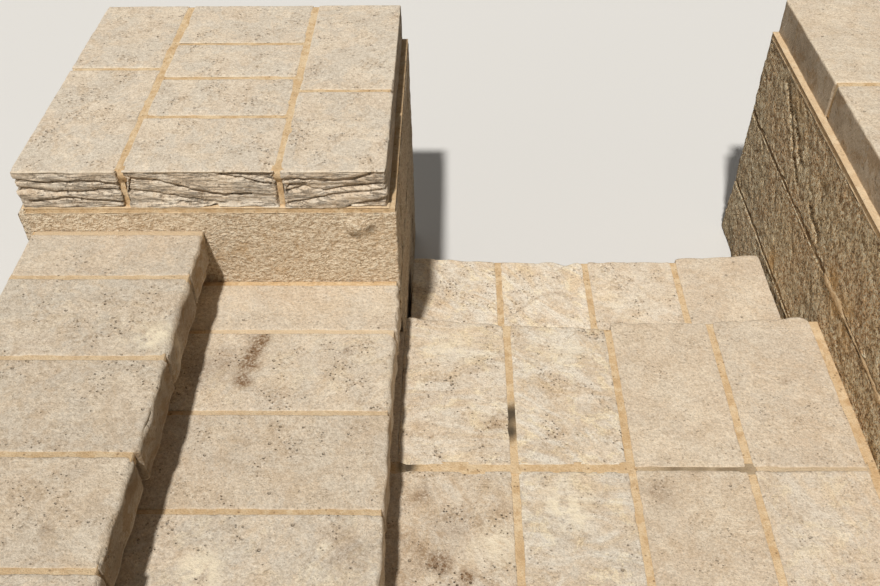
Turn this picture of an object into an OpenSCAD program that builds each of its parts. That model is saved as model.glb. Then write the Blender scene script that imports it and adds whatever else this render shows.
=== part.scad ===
// Garden steps of pale limestone that turn a corner.
// The upper flight comes down along +X to a landing, and the lower flight leaves it along +Y.
// Origin: where the centre lines of the two flights cross, at the lowest ground. +Z is up.

/* [Flights] */
// Height of every riser but the lowest
riser = 152; // [140:1:165]
// Height of the lowest riser, above the lowest ground
first_riser = 180; // [165:1:200]
// Going of the upper flight's middle tread
upper_going = 426; // [380:2:460]
// Depth of the top tread, nosing to its back end
top_depth = 390; // [340:5:450]
// Going of the lower tread
lower_going = 404; // [370:2:450]
// Width of the lower flight, from the pier to the right wall
lower_w = 1012; // [900:4:1200]
// Width of the upper flight, from the pier to the near wall
upper_w = 1330; // [1150:10:1600]

/* [Slabs] */
// Thickness of the tread and landing slabs
slab_t = 86; // [70:1:95]
// How far a nosing stands out over its riser
nosing = 34; // [20:1:40]
// Radius of the worn top edge of a nosing
nosing_r = 20; // [10:1:28]
// Width of the mortar joints between slabs
joint = 12; // [8:1:16]
// Thickness of a mortar bed
bed = 10; // [6:1:14]
// Width of the mortar strip along the walls
wall_strip = 18; // [12:1:24]

/* [Pier] */
// Width of the pier along X
pier_w = 840; // [760:10:960]
// Depth of the pier along Y
pier_d = 782; // [700:2:900]
// Thickness of the cap and coping slabs
cap_t = 101; // [80:1:120]
// How far the cap and the copings stand back from the face below
set_back = 18; // [8:1:26]
// Width of the cap's two side columns of slabs
cap_side = 232; // [200:2:260]

/* [Walls] */
// Thickness of the retaining walls
wall_t = 270; // [230:5:320]
// Height of the walls and the pier over the landing, without coping and cap
wall_over = 351; // [320:1:380]
// Height of the upper two courses of wall and pier stone
course_h = 236; // [220:1:245]
// How far the right wall runs on past the pier
wall_past = 24; // [0:4:80]

/* [Hidden] */
$fn = 48;

stone = "#d8ccb6";
rough = "#b9a583";
lime = "#c79a5b";
heart = "#a8987c";

// Levels of the walking surfaces, from the ground up
lower_z = first_riser;
landing_z = lower_z + riser;
middle_z = landing_z + riser;
top_z = middle_z + riser;

// Thickness of a riser's facing stones, and the ledge of slab that they stand on
riser_t = 45;
// Depth of the pier's facing stones
face_t = 150;
// Thickness of the wall that closes the upper flight's back end
rear_t = 100;
// How far the mortar lies behind the faces of the stones
rake = 4;
// Radius of a slab's top edge along a joint, and of its lower edge under the nosing
arris_r = 5;
under_r = 8;
// How far the joints of the cap and copings stay in from their edges
mortar_in = 12;
// How far a worn edge wanders in from its line
wander = 5;
// Clear joint between the landing's corner slab and the pier
pier_gap = 3;

// Faces of the lower flight's sides and of the upper flight's sides
pier_x = -lower_w / 2;
wall_x = lower_w / 2;
pier_y = upper_w / 2;
near_y = -upper_w / 2;

// Nosing lines
middle_x = pier_x;
top_x = middle_x - upper_going;
end_x = top_x - top_depth;
landing_y = pier_y + nosing;
lower_y = landing_y + lower_going;

// Far end of the pier and of the right wall, and the outer faces of the walls
pier_end_y = pier_y + pier_d;
wall_end_y = pier_end_y + wall_past;
pier_left_x = pier_x - pier_w;
wall_out_x = wall_x + wall_t;
near_out_y = near_y - wall_t;

// Top of the three courses, and the cap and coping above them
body_z = landing_z + wall_over;
course_top = [body_z - 2 * (course_h + bed), body_z - course_h - bed, body_z];
course_z = [0, course_top[0] + bed, course_top[1] + bed];
cap_z = body_z + bed;
cap_top_z = cap_z + cap_t;

// Shares of a row's length at which one stone ends and the next begins. The upper flight's rows
// are counted from the pier, the landing's and the lower flight's from the pier too.
top_cuts = [0, 0.11, 0.289, 0.466, 0.64, 0.82, 1];
middle_cuts = [0, 0.118, 0.296, 0.477, 0.652, 0.83, 1];
landing_cuts = [0, 0.252, 0.5, 0.751, 1];
lower_cuts = [0, 0.245, 0.493, 0.746, 1];
landing_row_cuts = [0, 0.332, 0.663, 1];

// How far each slab's nosing lies out or in at its two ends, where feet have worn it or it was
// laid askew
top_wear = [[-3, -1], [-1, 1], [2, 5], [-1, -1], [5, 0], [0, -2]];
middle_wear = [[0, 4], [0, -2], [-1, 0], [-1, 1], [-2, 1], [0, 0]];
landing_wear = [[10, -18], [-18, -30], [-10, -10], [-7, 10]];
lower_wear = [[7, -8], [-10, -14], [-11, -11], [2, 18]];
// Radii of each slab's two upright corners at the nosing
top_round = [[10, 14], [16, 30], [12, 16], [26, 12], [14, 18], [14, 10]];
middle_round = [[8, 12], [44, 10], [12, 16], [14, 10], [12, 18], [12, 8]];
landing_round = [[10, 14], [14, 10], [10, 12], [16, 22]];
lower_round = [[8, 12], [10, 14], [12, 10], [16, 14]];

// Plain helpers

// A rectangle with its own radius at each corner: bottom left, bottom right, top right, top left
module soft_rect(w, h, r) {
  difference() {
    square([w, h]);
    if (r[0] > 0) square(r[0]);
    if (r[1] > 0) translate([w - r[1], 0]) square(r[1]);
    if (r[2] > 0) translate([w - r[2], h - r[2]]) square(r[2]);
    if (r[3] > 0) translate([0, h - r[3]]) square(r[3]);
  }
  if (r[0] > 0) translate([r[0], r[0]]) circle(r[0]);
  if (r[1] > 0) translate([w - r[1], r[1]]) circle(r[1]);
  if (r[2] > 0) translate([w - r[2], h - r[2]]) circle(r[2]);
  if (r[3] > 0) translate([r[3], h - r[3]]) circle(r[3]);
}

// A box between two corners
module block(a, b) {
  translate(a) cube(b - a);
}

// A slab between two corners. plan holds the upright corners' radii, xz and yz the two
// profiles' radii as seen along Y and along X.
module slab(a, b, plan, xz, yz) {
  d = b - a;
  intersection() {
    translate(a) linear_extrude(d[2]) soft_rect(d[0], d[1], plan);
    translate([a[0], b[1], a[2]]) rotate([90, 0, 0]) linear_extrude(d[1]) soft_rect(d[0], d[2], xz);
    translate(a) rotate([90, 0, 90]) linear_extrude(d[0]) soft_rect(d[1], d[2], yz);
  }
}

// Distance that an edge with corner radius r lies in at a distance d from its end
function turned(d, r) = d >= r ? 0 : r - sqrt(r * r - (r - d) * (r - d));

// Distances along an edge of length l at which its outline has a point
function stops(l, r0, r1) = concat(
  [for (j = [0 : 3]) r0 * (1 - cos(22.5 * j))],
  [for (j = [0 : 6]) r0 + (l - r0 - r1) * j / 6],
  [for (j = [3 : -1 : 0]) l - r1 * (1 - cos(22.5 * j))]
);

// How far the edge of slab k wanders in at a share f of its length
function strays(k, f) = wander / 4 * (2 + sin(360 * (1.3 * f + 0.37 * k)) + sin(360 * (2.9 * f + 0.61 * k)));

// A slab with a worn nosing. Its front line runs from [a, w[0]] to [b, w[1]], and it lies behind
// that line, over depth. Its top is at z and its upright front corners have the radii q.
module worn_slab(a, b, depth, w, q, z, t, k) {
  l = b - a;
  turn = atan2(w[1] - w[0], l);
  front = [for (d = stops(l, q[0], q[1]))
    [a + d, w[0] + (w[1] - w[0]) * d / l - strays(k, d / l) - turned(d, q[0]) - turned(l - d, q[1])]];
  intersection() {
    translate([0, 0, z - t]) linear_extrude(t)
      polygon(concat([[a, -depth]], front, [[b, -depth]]));
    translate([a, w[0], z - t]) rotate([0, 0, turn]) translate([-depth, -2 * depth, 0])
      rotate([90, 0, 90]) linear_extrude(l + 2 * depth) soft_rect(2 * depth, t, [0, under_r, nosing_r, 0]);
    translate([a, nosing, z - t]) rotate([90, 0, 0])
      linear_extrude(depth + 2 * nosing) soft_rect(l, t, [0, 0, arris_r, arris_r]);
  }
}

// Paving slabs in a row along X, between y0 and y1
module plain_row(x0, x1, y0, y1, z, cuts) {
  n = len(cuts) - 1;
  for (i = [0 : n - 1])
    slab([x0 + cuts[i] * (x1 - x0) + (i == 0 ? 0 : joint / 2), y0, z - slab_t],
      [x0 + cuts[i + 1] * (x1 - x0) - (i == n - 1 ? 0 : joint / 2), y1, z],
      [6, 6, 6, 6], [0, 0, arris_r, arris_r], [0, 0, arris_r, arris_r]);
}

// A row of worn slabs along +X, with its nosing line at Y = 0
module nosed_row(length, depth, z, cuts, wear, round) {
  n = len(cuts) - 1;
  for (i = [0 : n - 1])
    worn_slab(cuts[i] * length + (i == 0 ? 0 : joint / 2), cuts[i + 1] * length - (i == n - 1 ? 0 : joint / 2),
      depth, wear[i], round[i], z, slab_t, i + n);
}

// The mortar in the joints of such a row, kept behind the two nosings that it lies between
module nosed_joints(length, depth, z, cuts, wear) {
  for (i = [1 : len(cuts) - 2])
    block([cuts[i] * length - joint / 2, -depth, z - slab_t],
      [cuts[i] * length + joint / 2, min(wear[i - 1][1], wear[i][0]) - nosing_r, z - rake]);
}

// Plain stones in a row along Y or along X, with joints of mortar between them
module stones_y(x0, x1, y0, y1, z0, z1, cuts, gap, r = 4) {
  n = len(cuts) - 1;
  for (i = [0 : n - 1]) {
    a = y0 + cuts[i] * (y1 - y0) + (i == 0 ? 0 : gap / 2);
    b = y0 + cuts[i + 1] * (y1 - y0) - (i == n - 1 ? 0 : gap / 2);
    translate([x0, a, z0]) rotate([90, 0, 90]) linear_extrude(x1 - x0) soft_rect(b - a, z1 - z0, [r, r, r, r]);
  }
}

module stones_x(x0, x1, y0, y1, z0, z1, cuts, gap, r = 4) {
  n = len(cuts) - 1;
  for (i = [0 : n - 1]) {
    a = x0 + cuts[i] * (x1 - x0) + (i == 0 ? 0 : gap / 2);
    b = x0 + cuts[i + 1] * (x1 - x0) - (i == n - 1 ? 0 : gap / 2);
    translate([a, y1, z0]) rotate([90, 0, 0]) linear_extrude(y1 - y0) soft_rect(b - a, z1 - z0, [r, r, r, r]);
  }
}

// Strips of mortar in the joints of such a row
module strips_y(x0, x1, y0, y1, z0, z1, cuts, gap) {
  for (i = [1 : len(cuts) - 2]) {
    c = y0 + cuts[i] * (y1 - y0);
    block([x0, c - gap / 2, z0], [x1, c + gap / 2, z1]);
  }
}

module strips_x(x0, x1, y0, y1, z0, z1, cuts, gap) {
  for (i = [1 : len(cuts) - 2]) {
    c = x0 + cuts[i] * (x1 - x0);
    block([c - gap / 2, y0, z0], [c + gap / 2, y1, z1]);
  }
}

// Upper flight

// Span of a tread between the near wall's strip and the pier's strip
tread_y0 = near_y + wall_strip;
tread_y1 = pier_y - joint;
tread_l = tread_y1 - tread_y0;

// Turns a row so that it runs from the pier towards the near wall with its nosing at x1
module upper_row(x1) {
  translate([x1, tread_y1, 0]) rotate([0, 0, -90]) children();
}

// Bed under a row, its joints, and the strips along the pier and the near wall
module upper_mortar(x0, x1, z, cuts, wear) {
  block([x0, near_y, z - slab_t - bed], [x1 - nosing - rake, pier_y, z - slab_t]);
  upper_row(x1) nosed_joints(tread_l, x1 - x0, z, cuts, wear);
  block([x0, near_y, z - slab_t], [x1 - nosing_r, tread_y0, z - rake]);
  block([x0, tread_y1, z - slab_t], [x1 - nosing_r, pier_y, z - rake]);
}

module upper_risers(x1, z, cuts) {
  f = x1 - nosing;
  stones_y(f - riser_t, f, near_y, pier_y, z - riser, z - slab_t - bed, [for (i = [len(cuts) - 1 : -1 : 0]) 1 - cuts[i]], joint);
}

module top_tread_slabs() {
  color(stone) upper_row(top_x) nosed_row(tread_l, top_depth, top_z, top_cuts, top_wear, top_round);
}

module top_tread_mortar() {
  color(lime) upper_mortar(end_x, top_x, top_z, top_cuts, top_wear);
}

module top_riser_stones() {
  color(rough) upper_risers(top_x, top_z, top_cuts);
}

module top_step_core() {
  color(heart) block([end_x + rear_t, near_y, 0], [top_x - nosing - riser_t, pier_y, top_z - slab_t - bed]);
}

middle_depth = upper_going + nosing + riser_t;

module middle_tread_slabs() {
  color(stone)
    upper_row(middle_x)
      nosed_row(tread_l, middle_depth, middle_z, middle_cuts, middle_wear, middle_round);
}

module middle_tread_mortar() {
  color(lime) upper_mortar(middle_x - middle_depth, middle_x, middle_z, middle_cuts, middle_wear);
}

module middle_riser_stones() {
  color(rough) upper_risers(middle_x, middle_z, middle_cuts);
}

module middle_step_core() {
  color(heart)
    block([top_x - nosing - riser_t, near_y, 0], [middle_x - nosing - riser_t, pier_y, middle_z - slab_t - bed]);
}

// Closed back end of the upper flight, three courses high
rear_h = top_z - slab_t - bed;
rear_course = (rear_h - 2 * bed) / 3;
rear_cuts = [[0, 0.31, 0.64, 1], [0, 0.2, 0.52, 0.81, 1], [0, 0.36, 0.69, 1]];

module rear_wall_stones() {
  color(rough)
    for (k = [0 : 2])
      stones_y(end_x, end_x + rear_t, near_y, pier_y,
        k * (rear_course + bed), k * (rear_course + bed) + rear_course, rear_cuts[k], bed);
}

module rear_wall_mortar() {
  color(lime) {
    for (k = [1 : 2])
      block([end_x + rake, near_y, k * (rear_course + bed) - bed],
        [end_x + rear_t, pier_y, k * (rear_course + bed)]);
    for (k = [0 : 2])
      strips_y(end_x + rake, end_x + rear_t, near_y, pier_y,
        k * (rear_course + bed), k * (rear_course + bed) + rear_course, rear_cuts[k], bed);
  }
}

// Landing

landing_x0 = middle_x - nosing - riser_t;
landing_x1 = wall_x - wall_strip;
landing_xa = pier_x + pier_gap;
landing_l = landing_x1 - landing_xa;
landing_row_y = [for (c = landing_row_cuts) tread_y0 + c * (landing_y - tread_y0)];
landing_depth = landing_y - landing_row_y[2] - joint / 2;

module landing_slabs() {
  color(stone) {
    translate([landing_xa, landing_y, 0])
      nosed_row(landing_l, landing_depth, landing_z, landing_cuts, landing_wear, landing_round);
    for (k = [0 : 1])
      plain_row(landing_xa, landing_x1, landing_row_y[k] + (k == 0 ? 0 : joint / 2),
        landing_row_y[k + 1] - joint / 2, landing_z, landing_cuts);
    for (k = [0 : 2])
      block([landing_x0, landing_row_y[k] + (k == 0 ? 0 : joint / 2), landing_z - slab_t],
        [landing_xa + arris_r, k == 2 ? tread_y1 : landing_row_y[k + 1] - joint / 2, landing_z]);
  }
}

module landing_mortar() {
  color(lime) {
    block([landing_x0, near_y, landing_z - slab_t - bed], [wall_x, pier_y - rake, landing_z - slab_t]);
    for (k = [1 : 2])
      block([landing_x0, landing_row_y[k] - joint / 2, landing_z - slab_t],
        [wall_x, landing_row_y[k] + joint / 2, landing_z - rake]);
    for (k = [0 : 1])
      strips_x(landing_xa, landing_x1, landing_row_y[k], landing_row_y[k + 1],
        landing_z - slab_t, landing_z - rake, landing_cuts, joint);
    translate([landing_xa, landing_y, 0])
      nosed_joints(landing_l, landing_depth, landing_z, landing_cuts, landing_wear);
    block([landing_x1, near_y, landing_z - slab_t], [wall_x, landing_y - nosing_r, landing_z - rake]);
    block([landing_x0, near_y, landing_z - slab_t], [landing_x1, tread_y0, landing_z - rake]);
  }
}

// Lower flight

lower_x0 = pier_x + joint / 2;
lower_x1 = wall_x - joint / 2;

module landing_riser_stones() {
  color(rough)
    stones_x(pier_x, wall_x, pier_y - riser_t, pier_y, lower_z, landing_z - slab_t - bed, lower_cuts, joint);
}

module landing_core() {
  color(heart) {
    block([landing_x0, near_y, 0], [wall_x, pier_y - riser_t, landing_z - slab_t - bed]);
    block([landing_x0, near_y, 0], [pier_x, pier_y, landing_z - slab_t - bed]);
  }
}

lower_l = lower_x1 - lower_x0;
lower_depth = lower_going + nosing + riser_t;

module lower_tread_slabs() {
  color(stone)
    translate([lower_x0, lower_y, 0])
      nosed_row(lower_l, lower_depth, lower_z, lower_cuts, lower_wear, lower_round);
}

module lower_tread_mortar() {
  color(lime) {
    block([pier_x, pier_y - riser_t, lower_z - slab_t - bed], [wall_x, lower_y - nosing - rake, lower_z - slab_t]);
    translate([lower_x0, lower_y, 0])
      nosed_joints(lower_l, lower_depth, lower_z, lower_cuts, lower_wear);
  }
}

module lower_riser_stones() {
  color(rough)
    stones_x(pier_x, wall_x, lower_y - nosing - riser_t, lower_y - nosing,
      0, lower_z - slab_t - bed, landing_cuts, joint);
}

module lower_step_core() {
  color(heart)
    block([pier_x, pier_y - riser_t, 0], [wall_x, lower_y - nosing - riser_t, lower_z - slab_t - bed]);
}

// Pier

// One course: two stones run the full width and two lie between them, turned on each course
module pier_course(k) {
  z0 = course_z[k];
  z1 = course_top[k];
  g = k % 2 == 0 ? 0 : face_t + bed;
  h = k % 2 == 0 ? face_t + bed : 0;
  for (y = [pier_y, pier_end_y - face_t])
    block([pier_left_x + g, y, z0], [pier_x - g, y + face_t, z1]);
  for (x = [pier_left_x, pier_x - face_t])
    block([x, pier_y + h, z0], [x + face_t, pier_end_y - h, z1]);
}

module pier_low_course() {
  color(rough) pier_course(0);
}

module pier_middle_course() {
  color(rough) pier_course(1);
}

module pier_top_course() {
  color(rough) pier_course(2);
}

module pier_core() {
  color(heart)
    block([pier_left_x + face_t, pier_y + face_t, 0], [pier_x - face_t, pier_end_y - face_t, body_z]);
}

module pier_mortar() {
  color(lime) {
    for (k = [0 : 1])
      difference() {
        block([pier_left_x + rake, pier_y + rake, course_top[k]],
          [pier_x - rake, pier_end_y - rake, course_z[k + 1]]);
        block([pier_left_x + face_t, pier_y + face_t, course_z[k]],
          [pier_x - face_t, pier_end_y - face_t, course_z[k + 1] + 1]);
      }
    for (k = [0 : 2])
      for (x = [pier_left_x, pier_x - face_t])
        for (y = [pier_y, pier_end_y - face_t]) {
          even = k % 2 == 0;
          left = x == pier_left_x;
          front = y == pier_y;
          if (even)
            block([left ? x + rake : x, front ? y + face_t : y - bed, course_z[k]],
              [left ? x + face_t : x + face_t - rake, front ? y + face_t + bed : y, course_top[k]]);
          else
            block([left ? x + face_t : x - bed, front ? y + rake : y, course_z[k]],
              [left ? x + face_t + bed : x, front ? y + face_t : y + face_t - rake, course_top[k]]);
        }
  }
}

// Cap: a column of long slabs at each side and one of shorter slabs between them
cap_x0 = pier_left_x + set_back;
cap_x3 = pier_x - set_back;
cap_x1 = cap_x0 + cap_side;
cap_x2 = cap_x3 - cap_side;
cap_side_cuts = [0, 0.424, 1];
cap_left_cuts = [0, 0.56, 1];
cap_middle_cuts = [0, 0.28, 0.503, 0.722, 1];

// Layers of the cap stone as shares of its thickness, from the bottom up, and how far each
// layer's broken front lies in. The thin ones are the open seams between the beds of the stone.
bed_tops = [0.24, 0.29, 0.5, 0.54, 0.76, 0.8, 1];
bed_backs = [3, 15, 6, 13, 1, 11, 2];
cleft = 7;
cap_r = 13;

// Outline of one layer of a slab between x0 and x1, with a broken front at y0
function broken(x0, x1, y0, y1, back, k) = concat(
  [for (j = [0 : 12])
    let (f = j / 12)
    [x0 + f * (x1 - x0),
      y0 + back + cleft / 4 * (2 + sin(360 * (1.7 * f + 0.31 * k)) + sin(360 * (3.1 * f + 0.73 * k)))]],
  [[x1, y1], [x0, y1]]
);

// A cap slab whose front shows the beds of the stone
module cleft_slab(x0, x1, y0, y1, k) {
  intersection() {
    for (i = [0 : len(bed_tops) - 1]) {
      z0 = i == 0 ? 0 : bed_tops[i - 1];
      translate([0, 0, cap_z + z0 * cap_t])
        linear_extrude((bed_tops[i] - z0) * cap_t) polygon(broken(x0, x1, y0, y1, bed_backs[i], i + 7 * k));
    }
    translate([x0, y0, cap_z]) rotate([90, 0, 90])
      linear_extrude(x1 - x0) soft_rect(y1 - y0, cap_t, [0, 0, arris_r, cap_r]);
    translate([x0, y1, cap_z]) rotate([90, 0, 0])
      linear_extrude(y1 - y0) soft_rect(x1 - x0, cap_t, [0, 0, arris_r, arris_r]);
  }
}

module cap_column(x0, x1, cuts, k) {
  n = len(cuts) - 1;
  for (i = [0 : n - 1]) {
    a = pier_y + cuts[i] * pier_d + (i == 0 ? 0 : joint / 2);
    b = pier_y + cuts[i + 1] * pier_d - (i == n - 1 ? 0 : joint / 2);
    if (i == 0)
      cleft_slab(x0, x1, a, b, k);
    else
      slab([x0, a, cap_z], [x1, b, cap_top_z], [4, 4, 4, 4], [0, 0, arris_r, arris_r],
        [0, 0, i == n - 1 ? cap_r : arris_r, arris_r]);
  }
}

module cap_right_slabs() {
  color(stone) cap_column(cap_x2 + joint / 2, cap_x3, cap_side_cuts, 1);
}

module cap_middle_slabs() {
  color(stone) cap_column(cap_x1 + joint / 2, cap_x2 - joint / 2, cap_middle_cuts, 2);
}

module cap_left_slabs() {
  color(stone) cap_column(cap_x0, cap_x1 - joint / 2, cap_left_cuts, 3);
}

module cap_mortar() {
  color(lime) {
    block([cap_x0 + rake, pier_y + rake, body_z], [pier_x - rake, pier_end_y - rake, cap_z]);
    for (x = [cap_x1, cap_x2])
      block([x - joint / 2, pier_y + mortar_in, cap_z], [x + joint / 2, pier_end_y - mortar_in, cap_top_z - rake]);
    strips_y(cap_x2 + joint / 2, cap_x3 - mortar_in, pier_y, pier_end_y, cap_z, cap_top_z - rake, cap_side_cuts, joint);
    strips_y(cap_x1 + joint / 2, cap_x2 - joint / 2, pier_y, pier_end_y, cap_z, cap_top_z - rake,
      cap_middle_cuts, joint);
    strips_y(cap_x0 + mortar_in, cap_x1 - joint / 2, pier_y, pier_end_y, cap_z, cap_top_z - rake, cap_left_cuts, joint);
  }
}

// Right retaining wall

right_cuts = [[0, 0.47, 1], [0, 0.34, 1], [0, 0.44, 1]];
right_coping_cuts = [0, 0.19, 0.395, 0.6, 0.812, 1];

module right_course(k) {
  stones_y(wall_x, wall_out_x, near_out_y, wall_end_y, course_z[k], course_top[k], right_cuts[k], bed);
}

module right_wall_low_course() {
  color(rough) right_course(0);
}

module right_wall_middle_course() {
  color(rough) right_course(1);
}

module right_wall_top_course() {
  color(rough) right_course(2);
}

module right_wall_mortar() {
  color(lime) {
    for (k = [0 : 1])
      block([wall_x + rake, near_out_y + rake, course_top[k]],
        [wall_out_x - rake, wall_end_y - rake, course_z[k + 1]]);
    for (k = [0 : 2])
      strips_y(wall_x + rake, wall_out_x - rake, near_out_y, wall_end_y,
        course_z[k], course_top[k], right_cuts[k], bed);
  }
}

module right_coping_stones() {
  color(stone) {
    n = len(right_coping_cuts) - 1;
    l = wall_end_y - near_out_y;
    for (i = [0 : n - 1])
      slab([wall_x + set_back, near_out_y + right_coping_cuts[i] * l + (i == 0 ? 0 : joint / 2), cap_z],
        [wall_out_x, near_out_y + right_coping_cuts[i + 1] * l - (i == n - 1 ? 0 : joint / 2), cap_top_z],
        [6, 6, 6, 6], [0, 0, 9, 9], [0, 0, 6, 6]);
  }
}

// The mortar that slopes from the ledge of a wall up to its coping, between 0 and l along +X
module fillet(l) {
  rotate([90, 0, 90]) linear_extrude(l)
    polygon([[rake, 0], [set_back, 0], [set_back, bed + arris_r]]);
}

module right_coping_mortar() {
  color(lime) {
    translate([wall_x, wall_end_y - rake, body_z]) rotate([0, 0, -90]) fillet(wall_end_y - near_y - rake);
    block([wall_x + rake, near_out_y + rake, body_z], [wall_out_x - rake, wall_end_y - rake, cap_z]);
    strips_y(wall_x + set_back + mortar_in, wall_out_x - mortar_in, near_out_y, wall_end_y, cap_z, cap_top_z - rake,
      right_coping_cuts, joint);
  }
}

// Near retaining wall, butted against the right wall's face

near_cuts = [[0, 0.36, 0.7, 1], [0, 0.52, 1], [0, 0.3, 0.66, 1]];
near_coping_cuts = [0, 0.26, 0.51, 0.76, 1];
near_x1 = wall_x - bed;

module near_course(k) {
  stones_x(end_x, near_x1, near_out_y, near_y, course_z[k], course_top[k], near_cuts[k], bed);
}

module near_wall_low_course() {
  color(rough) near_course(0);
}

module near_wall_middle_course() {
  color(rough) near_course(1);
}

module near_wall_top_course() {
  color(rough) near_course(2);
}

module near_wall_mortar() {
  color(lime) {
    for (k = [0 : 1])
      block([end_x + rake, near_out_y + rake, course_top[k]], [near_x1, near_y - rake, course_z[k + 1]]);
    for (k = [0 : 2])
      strips_x(end_x, near_x1, near_out_y + rake, near_y - rake,
        course_z[k], course_top[k], near_cuts[k], bed);
    block([near_x1, near_out_y + rake, 0], [wall_x, near_y - rake, body_z]);
  }
}

near_coping_x1 = wall_x + set_back - joint;

module near_coping_stones() {
  color(stone) {
    n = len(near_coping_cuts) - 1;
    l = near_coping_x1 - end_x;
    for (i = [0 : n - 1])
      slab([end_x + near_coping_cuts[i] * l + (i == 0 ? 0 : joint / 2), near_out_y, cap_z],
        [end_x + near_coping_cuts[i + 1] * l - (i == n - 1 ? 0 : joint / 2), near_y - set_back, cap_top_z],
        [6, 6, 6, 6], [0, 0, 6, 6], [0, 0, 9, 9]);
  }
}

module near_coping_mortar() {
  color(lime) {
    translate([wall_x + rake, near_y, body_z]) rotate([0, 0, 180]) fillet(wall_x - end_x);
    block([end_x + rake, near_out_y + rake, body_z], [wall_x + rake, near_y - rake, cap_z]);
    strips_x(end_x, near_coping_x1, near_out_y + mortar_in, near_y - set_back - mortar_in, cap_z, cap_top_z - rake,
      near_coping_cuts, joint);
    block([near_coping_x1, near_out_y + mortar_in, cap_z],
      [wall_x + set_back, near_y - set_back - mortar_in, cap_top_z - rake]);
  }
}

top_tread_slabs();
top_tread_mortar();
top_riser_stones();
top_step_core();
middle_tread_slabs();
middle_tread_mortar();
middle_riser_stones();
middle_step_core();
rear_wall_stones();
rear_wall_mortar();
landing_slabs();
landing_mortar();
landing_riser_stones();
landing_core();
lower_tread_slabs();
lower_tread_mortar();
lower_riser_stones();
lower_step_core();
pier_low_course();
pier_middle_course();
pier_top_course();
pier_core();
pier_mortar();
cap_right_slabs();
cap_middle_slabs();
cap_left_slabs();
cap_mortar();
right_wall_low_course();
right_wall_middle_course();
right_wall_top_course();
right_wall_mortar();
right_coping_stones();
right_coping_mortar();
near_wall_low_course();
near_wall_middle_course();
near_wall_top_course();
near_wall_mortar();
near_coping_stones();
near_coping_mortar();
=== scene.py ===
"""Stone steps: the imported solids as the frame, dressed with worn, cleft and rough stones."""

import math

import bpy
import numpy as np
from mathutils import Matrix, Vector


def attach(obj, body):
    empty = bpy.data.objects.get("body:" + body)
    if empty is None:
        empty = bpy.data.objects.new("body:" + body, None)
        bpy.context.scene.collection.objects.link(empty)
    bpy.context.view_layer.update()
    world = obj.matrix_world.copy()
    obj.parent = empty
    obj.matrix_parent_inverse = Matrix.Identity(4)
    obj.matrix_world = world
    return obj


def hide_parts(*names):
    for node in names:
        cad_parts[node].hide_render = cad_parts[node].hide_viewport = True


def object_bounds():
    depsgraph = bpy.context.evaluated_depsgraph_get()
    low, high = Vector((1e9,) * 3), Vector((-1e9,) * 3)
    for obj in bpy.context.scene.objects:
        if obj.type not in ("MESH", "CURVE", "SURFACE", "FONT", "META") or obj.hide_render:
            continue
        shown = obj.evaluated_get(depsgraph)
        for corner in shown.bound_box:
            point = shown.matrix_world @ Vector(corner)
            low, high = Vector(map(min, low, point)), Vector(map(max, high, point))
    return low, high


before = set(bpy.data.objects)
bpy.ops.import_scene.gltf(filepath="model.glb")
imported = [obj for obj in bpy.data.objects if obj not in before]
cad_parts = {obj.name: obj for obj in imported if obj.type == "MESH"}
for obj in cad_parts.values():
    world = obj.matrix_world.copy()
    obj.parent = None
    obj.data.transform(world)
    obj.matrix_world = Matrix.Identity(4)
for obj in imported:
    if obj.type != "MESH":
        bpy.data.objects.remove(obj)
CAD_BOX = [[float(v) for v in p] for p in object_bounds()]

MM = 0.001
# The pieces stay this far inside the solids' box, in millimetres
INSIDE = 0.05
BOX_LO = [c / MM + INSIDE for c in CAD_BOX[0]]
BOX_HI = [c / MM - INSIDE for c in CAD_BOX[1]]

# Sizes in millimetres, as the solids have them
RISER, FIRST, WALL_OVER, COURSE = 152, 180, 351, 236
UP_GOING, TOP_DEPTH, LOW_GOING = 426, 390, 404
LOW_W, UP_W, SLAB_T, NOSING = 1012, 1330, 86, 34
JOINT, BED, STRIP, RISER_T = 12, 10, 18, 45
PIER_W, PIER_D, CAP_T, BACK, CAP_SIDE = 840, 782, 101, 18, 232
WALL_T, WALL_PAST, FACE_T, REAR_T = 270, 24, 150, 100

LOWER_Z = FIRST
LANDING_Z = LOWER_Z + RISER
MIDDLE_Z = LANDING_Z + RISER
TOP_Z = MIDDLE_Z + RISER
PIER_X, WALL_X = -LOW_W / 2, LOW_W / 2
PIER_Y, NEAR_Y = UP_W / 2, -UP_W / 2
TOP_X = PIER_X - UP_GOING
END_X = TOP_X - TOP_DEPTH
LANDING_Y = PIER_Y + NOSING
LOWER_Y = LANDING_Y + LOW_GOING
PIER_END = PIER_Y + PIER_D
WALL_END = PIER_END + WALL_PAST
PIER_LEFT = PIER_X - PIER_W
WALL_OUT, NEAR_OUT = WALL_X + WALL_T, NEAR_Y - WALL_T
BODY_Z = LANDING_Z + WALL_OVER
TOPS = [BODY_Z - 2 * (COURSE + BED), BODY_Z - COURSE - BED, BODY_Z]
BOTS = [0, TOPS[0] + BED, TOPS[1] + BED]
CAP_Z = BODY_Z + BED
CAP_TOP = CAP_Z + CAP_T
TREAD0, TREAD1 = NEAR_Y + STRIP, PIER_Y - JOINT
TREAD_L = TREAD1 - TREAD0
UNDER = NOSING + RISER_T
CAP_X0, CAP_X3 = PIER_LEFT + BACK, PIER_X - BACK
CAP_X1, CAP_X2 = CAP_X0 + CAP_SIDE, CAP_X3 - CAP_SIDE

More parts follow.
